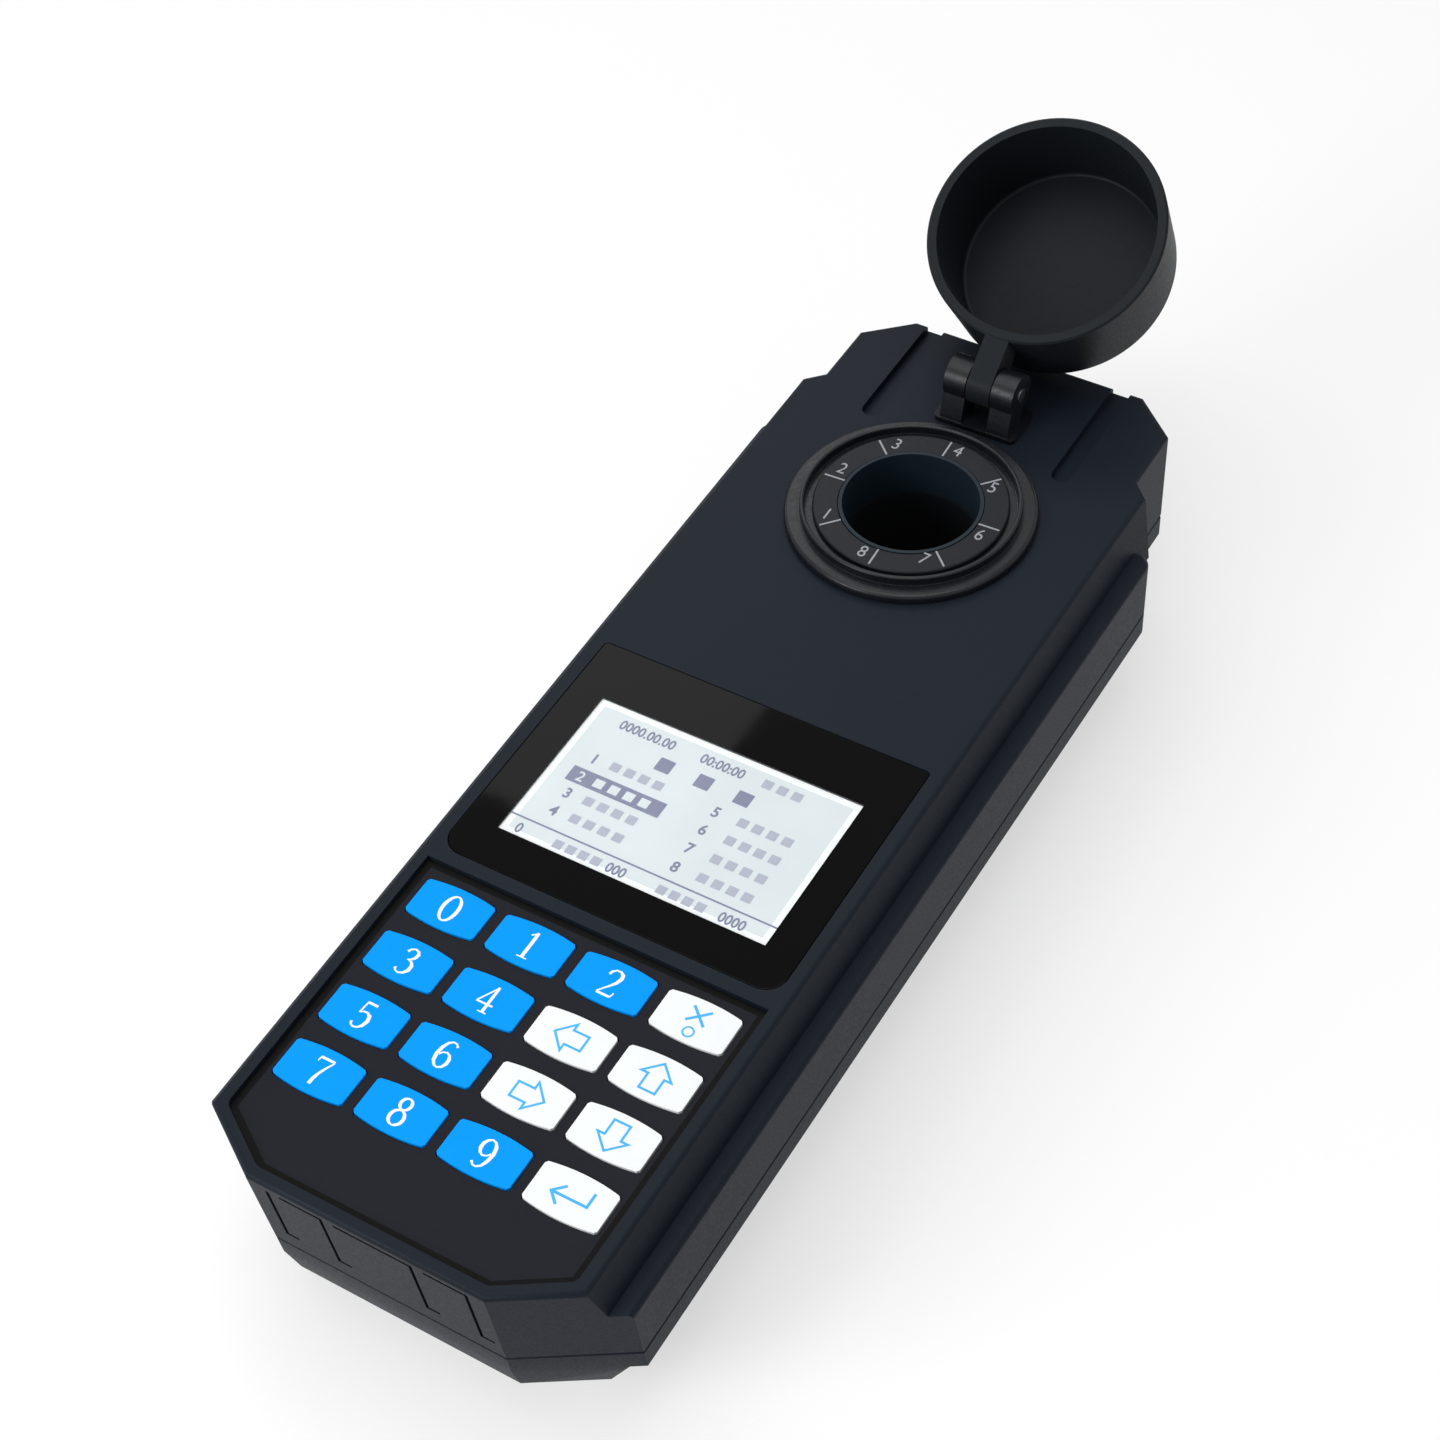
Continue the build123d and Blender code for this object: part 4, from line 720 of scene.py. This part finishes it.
class METER_OT_display(MeterOperator, bpy.types.Operator):
    """Light the display and draw a plain numbered list on it"""

    bl_idname = "meter.display"
    bl_label = "Display"

    depth = 0.4 * MM  # the display's face lies this far under the window's top
    margin = 1.3 * MM  # pale border round the field
    glow = 0.02
    # The list's lines: where the number and the blocks start and the line's height. All places
    # on the display are shares of its width and height, from its rear left corner.
    rows = [(0.12, 0.20, 0.375), (0.12, 0.20, 0.51), (0.12, 0.20, 0.635), (0.12, 0.20, 0.765),
            (0.59, 0.69, 0.385), (0.59, 0.69, 0.515), (0.59, 0.69, 0.65), (0.59, 0.69, 0.785)]
    chosen = 1
    zeros = (("0000.00.00", 0.22, 0.105), ("00:00:00", 0.51, 0.105), ("0", 0.06, 0.945),
             ("000", 0.43, 0.945), ("0000", 0.86, 0.945))

    def make(self, colours, sizes):
        low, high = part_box("display_window")
        # The lit glass round the field, a touch paler than it
        edge = lit_display("display_edge", "#f3f6f7", "#eef2f4", self.glow)
        finish_node("lcd_glass", edge)
        # White polycarbonate round the glass, under the window's border
        frame_white = grained("frame_pc", "#e6e8ea", "#dfe2e4", 0.4, 0.5 * MM, 0.005 * MM)
        finish_node("lcd_frame", frame_white)
        # The light guide: a pale block that fills the window's opening up to the pane
        z = high.z - self.depth
        bm = bmesh.new()
        face = outline_face(bm, lit_area(sizes, SEAM), low.z + SEAM)
        raise_faces(bm, [face], z - low.z - SEAM)
        as_piece("display_edge", bm, edge)
        z += HAIR
        bm = bmesh.new()
        field = outline_face(bm, lit_area(sizes, self.margin), z)
        raise_faces(bm, [field], sizes.print_thick)
        # The field itself: cool pale grey, as a lit display looks by day
        paper = lit_display("display_field", colours.display, "#d6dfe2", self.glow)
        as_piece("display_field", bm, paper)
        self.marks(colours, sizes, paper, z + sizes.print_thick + HAIR)

    def marks(self, colours, sizes, paper, z):
        """A list of eight numbered lines under a title, in plain blocks, with one chosen."""
        # Switched cells of the display: flat slate grey, paler where fine words would blur
        dark = grained("display_ink", colours.ink, "#74789a", 0.5, 0.3 * MM, 0.002 * MM, 1.2 * MM)
        grey = grained("display_grey", "#b0b5c4", "#a6abbd", 0.5, 0.3 * MM, 0.002 * MM, 1.2 * MM)
        (left, front), (right, _), (_, rear), _ = lit_area(sizes)

        def spot(u, v):
            return left + u * (right - left), rear - v * (rear - front)

        def block(bm, u, v, wide, tall):
            x, y = spot(u, v)
            a, b = wide / 2 * MM, tall / 2 * MM
            return outline_face(bm, rectangle(x - a, y - b, x + a, y + b), z)

        def words(bm, u, v, count, size=1.9, step=0.055):
            return [block(bm, u + step * index, v, size, size) for index in range(count)]

        def number(bm, text, u, v, height, squeeze, slim):
            numeral(bm, text, height, *spot(u, v), z, sizes.print_thick, squeeze, slim)

        bm = bmesh.new()
        faces = words(bm, 0.68, 0.105, 3) + words(bm, 0.21, 0.945, 4, 1.8, 0.048)
        faces += words(bm, 0.60, 0.945, 4, 1.8, 0.048)
        for index, (_, start, v) in enumerate(self.rows):
            if index != self.chosen:
                faces += words(bm, start, v, 4)
        raise_faces(bm, faces, sizes.print_thick)
        as_piece("display_words", bm, grey)
        bm = bmesh.new()
        faces = words(bm, 0.34, 0.245, 3, 3.0, 0.15)
        # The dark bar behind the chosen line, and the rule over the last one
        faces += [block(bm, 0.255, 0.51, 19.0, 3.5), block(bm, 0.507, 0.878, 54.0, 0.36)]
        raise_faces(bm, faces, sizes.print_thick)
        for index, (u, _, v) in enumerate(self.rows):
            if index != self.chosen:
                number(bm, f"{index + 1}", u, v, 2.2 * MM, 0.95, -0.08 * MM)
        for text, u, v in self.zeros:
            number(bm, text, u, v, 2.1 * MM, 0.85, -0.07 * MM)
        as_piece("display_marks", bm, dark)
        # The chosen line stands pale on its bar
        z += sizes.print_thick + HAIR
        u, _, v = self.rows[self.chosen]
        bm = bmesh.new()
        raise_faces(bm, words(bm, 0.19, v, 4, 1.9, 0.058), sizes.print_thick)
        number(bm, f"{self.chosen + 1}", u, v, 2.2 * MM, 0.95, -0.03 * MM)
        as_piece("display_choice", bm, paper)


class METER_OT_inside(MeterOperator, bpy.types.Operator):
    """Finish the board, the domes, the optics and the batteries"""

    bl_idname = "meter.inside"
    bl_label = "Inside parts"

    def make(self, colours, sizes):
        finish_node("main_board", circuit_laminate("circuit_laminate"))
        # Bright rolled steel, dull zinc on the screws and warm nickel on the battery's contacts
        bright = metal("spring_steel", "#c4c6c8", 0.25, 0.2 * MM, "X")
        zinc = metal("dark_zinc", "#8a8c90", 0.4, 0.2 * MM, "Z")
        nickel = metal("nickel_plate", "#cfcbbf", 0.3, 0.2 * MM, "X")
        for name in ("key_domes", "lamp", "transmission_sensor", "scatter_sensor"):
            finish_node(name, bright)
        for name in ("case_screws", "board_screws", "bracket_screws", "door_screws"):
            finish_node(name, zinc)
        for name in ("battery_contacts", "battery_springs"):
            finish_node(name, nickel)
        # Printed film shrunk round the cells: smooth and even
        wrap = grained("cell_wrap", "#3c3f45", "#43464c", 0.3, 0.8 * MM, 0.004 * MM, 12 * MM)
        for index in range(4):
            finish_node(f"battery_cell_{index + 1}", wrap)


class METER_OT_stage(bpy.types.Operator):
    """Set up the floor, the lights, the world and the camera"""

    bl_idname = "meter.stage"
    bl_label = "Studio"

    middle = Vector((0, -0.06, 0))
    # Name, place, aim, power in watts and width of each lamp. The rear one shines straight down
    # behind the meter, where the window mirrors it.
    lamps = (
        ("over", (-0.05, -0.05, 0.85), middle, 4.25, 0.7),
        ("rear", (-0.71, 0.75, 0.85), Vector((-0.71, 0.75, 0)), 3.0, 0.6),
        ("side", (0.8, -0.2, 0.45), middle, 0.4, 0.5),
        ("front", (-0.35, -0.75, 0.4), middle, 4.3, 0.4),
    )
    fill = 0.32  # the world's light on the meter
    paper_glow = 0.6  # share of plain white in the floor where it is seen
    floor_reach = 3.0  # from the meter to the floor's edges
    film = 36.0  # width of the camera's picture in millimetres
    near, far = 0.01, 20.0  # how far the camera sees

    def execute(self, context):
        stage = context.scene.meter_stage
        self.floor(stage)
        self.world(context.scene)
        for name, place, aim, power, size in self.lamps:
            data = bpy.data.lights.new(f"lamp_{name}", "AREA")
            data.energy, data.size = power, size
            lamp = bpy.data.objects.new(f"lamp_{name}", data)
            lamp.location = place
            lamp.rotation_euler = (aim - Vector(place)).to_track_quat("-Z", "Y").to_euler()
            context.scene.collection.objects.link(lamp)
        data = bpy.data.cameras.new("camera")
        data.lens, data.sensor_width = stage.lens, self.film
        data.clip_start, data.clip_end = self.near, self.far
        camera = bpy.data.objects.new("camera", data)
        camera.location, camera.rotation_euler = stage.camera, stage.turn
        context.scene.collection.objects.link(camera)
        context.scene.camera = camera
        context.scene.view_settings.view_transform = "Standard"
        return {"FINISHED"}

    def floor(self, stage):
        """A pale sweep under the meter that keeps its shadow."""
        bm = bmesh.new()
        bmesh.ops.create_grid(bm, x_segments=8, y_segments=8, size=self.floor_reach)
        bmesh.ops.translate(bm, verts=bm.verts, vec=(0, 0, CAD_BOX[0].z))
        mesh = bpy.data.meshes.new("floor")
        bm.to_mesh(mesh)
        bm.free()
        floor = bpy.data.objects.new("floor", mesh)
        bpy.context.scene.collection.objects.link(floor)
        # Matt paper: white to the camera, with the shadow still showing on it
        material, tree, shader = start_finish("backdrop_paper")
        shader.inputs["Base Color"].default_value = linear(stage.backdrop)
        shader.inputs["Roughness"].default_value = 0.9
        shader.inputs["Specular IOR Level"].default_value = 0.1
        share = add(tree, "ShaderNodeMath", {0: seen_rays(tree), 1: self.paper_glow},
                    operation="MULTIPLY")
        white = add(tree, "ShaderNodeEmission", {"Color": linear("#ffffff"), "Strength": 1.0})
        both = add(tree, "ShaderNodeMixShader", {
            0: share.outputs[0], 1: shader.outputs[0], 2: white.outputs[0]})
        tree.links.new(both.outputs[0], tree.nodes["Material Output"].inputs["Surface"])
        mesh.materials.append(material)

    def world(self, scene):
        """Even soft light from all round, white where it is seen."""
        world = bpy.data.worlds.new("studio")
        world.use_nodes = True
        tree = world.node_tree
        power = add(tree, "ShaderNodeMapRange", {
            "Value": seen_rays(tree), "To Min": self.fill, "To Max": 1.0})
        back = tree.nodes["Background"]
        back.inputs["Color"].default_value = linear("#ffffff")
        tree.links.new(power.outputs["Result"], back.inputs["Strength"])
        scene.world = world


class METER_PT_panel(bpy.types.Panel):
    """Lists the meter's pieces"""

    bl_idname = "METER_PT_panel"
    bl_label = "Turbidity meter"
    bl_space_type = "VIEW_3D"
    bl_region_type = "UI"
    bl_category = "Meter"

    def draw(self, context):
        for operator in OPERATORS:
            self.layout.operator(operator.bl_idname)
        for group in ("meter_colours", "meter_sizes", "meter_stage"):
            settings = getattr(context.scene, group)
            box = self.layout.box()
            for name in settings.bl_rna.properties.keys():
                if name not in {"rna_type", "name"}:
                    box.prop(settings, name)


OPERATORS = (
    METER_OT_housing, METER_OT_collar, METER_OT_dial, METER_OT_cover, METER_OT_keys,
    METER_OT_window, METER_OT_display, METER_OT_inside, METER_OT_stage,
)
GROUPS = {"meter_colours": MeterColours, "meter_sizes": MeterSizes, "meter_stage": MeterStage}
CLASSES = (*GROUPS.values(), *OPERATORS, METER_PT_panel)


def register():
    for item in CLASSES:
        bpy.utils.register_class(item)
    for name, group in GROUPS.items():
        setattr(bpy.types.Scene, name, PointerProperty(type=group))


def unregister():
    for name in GROUPS:
        delattr(bpy.types.Scene, name)
    for item in reversed(CLASSES):
        bpy.utils.unregister_class(item)


def main():
    register()
    for operator in OPERATORS:
        group, name = operator.bl_idname.split(".")
        getattr(getattr(bpy.ops, group), name)()


if __name__ == "__main__":
    main()
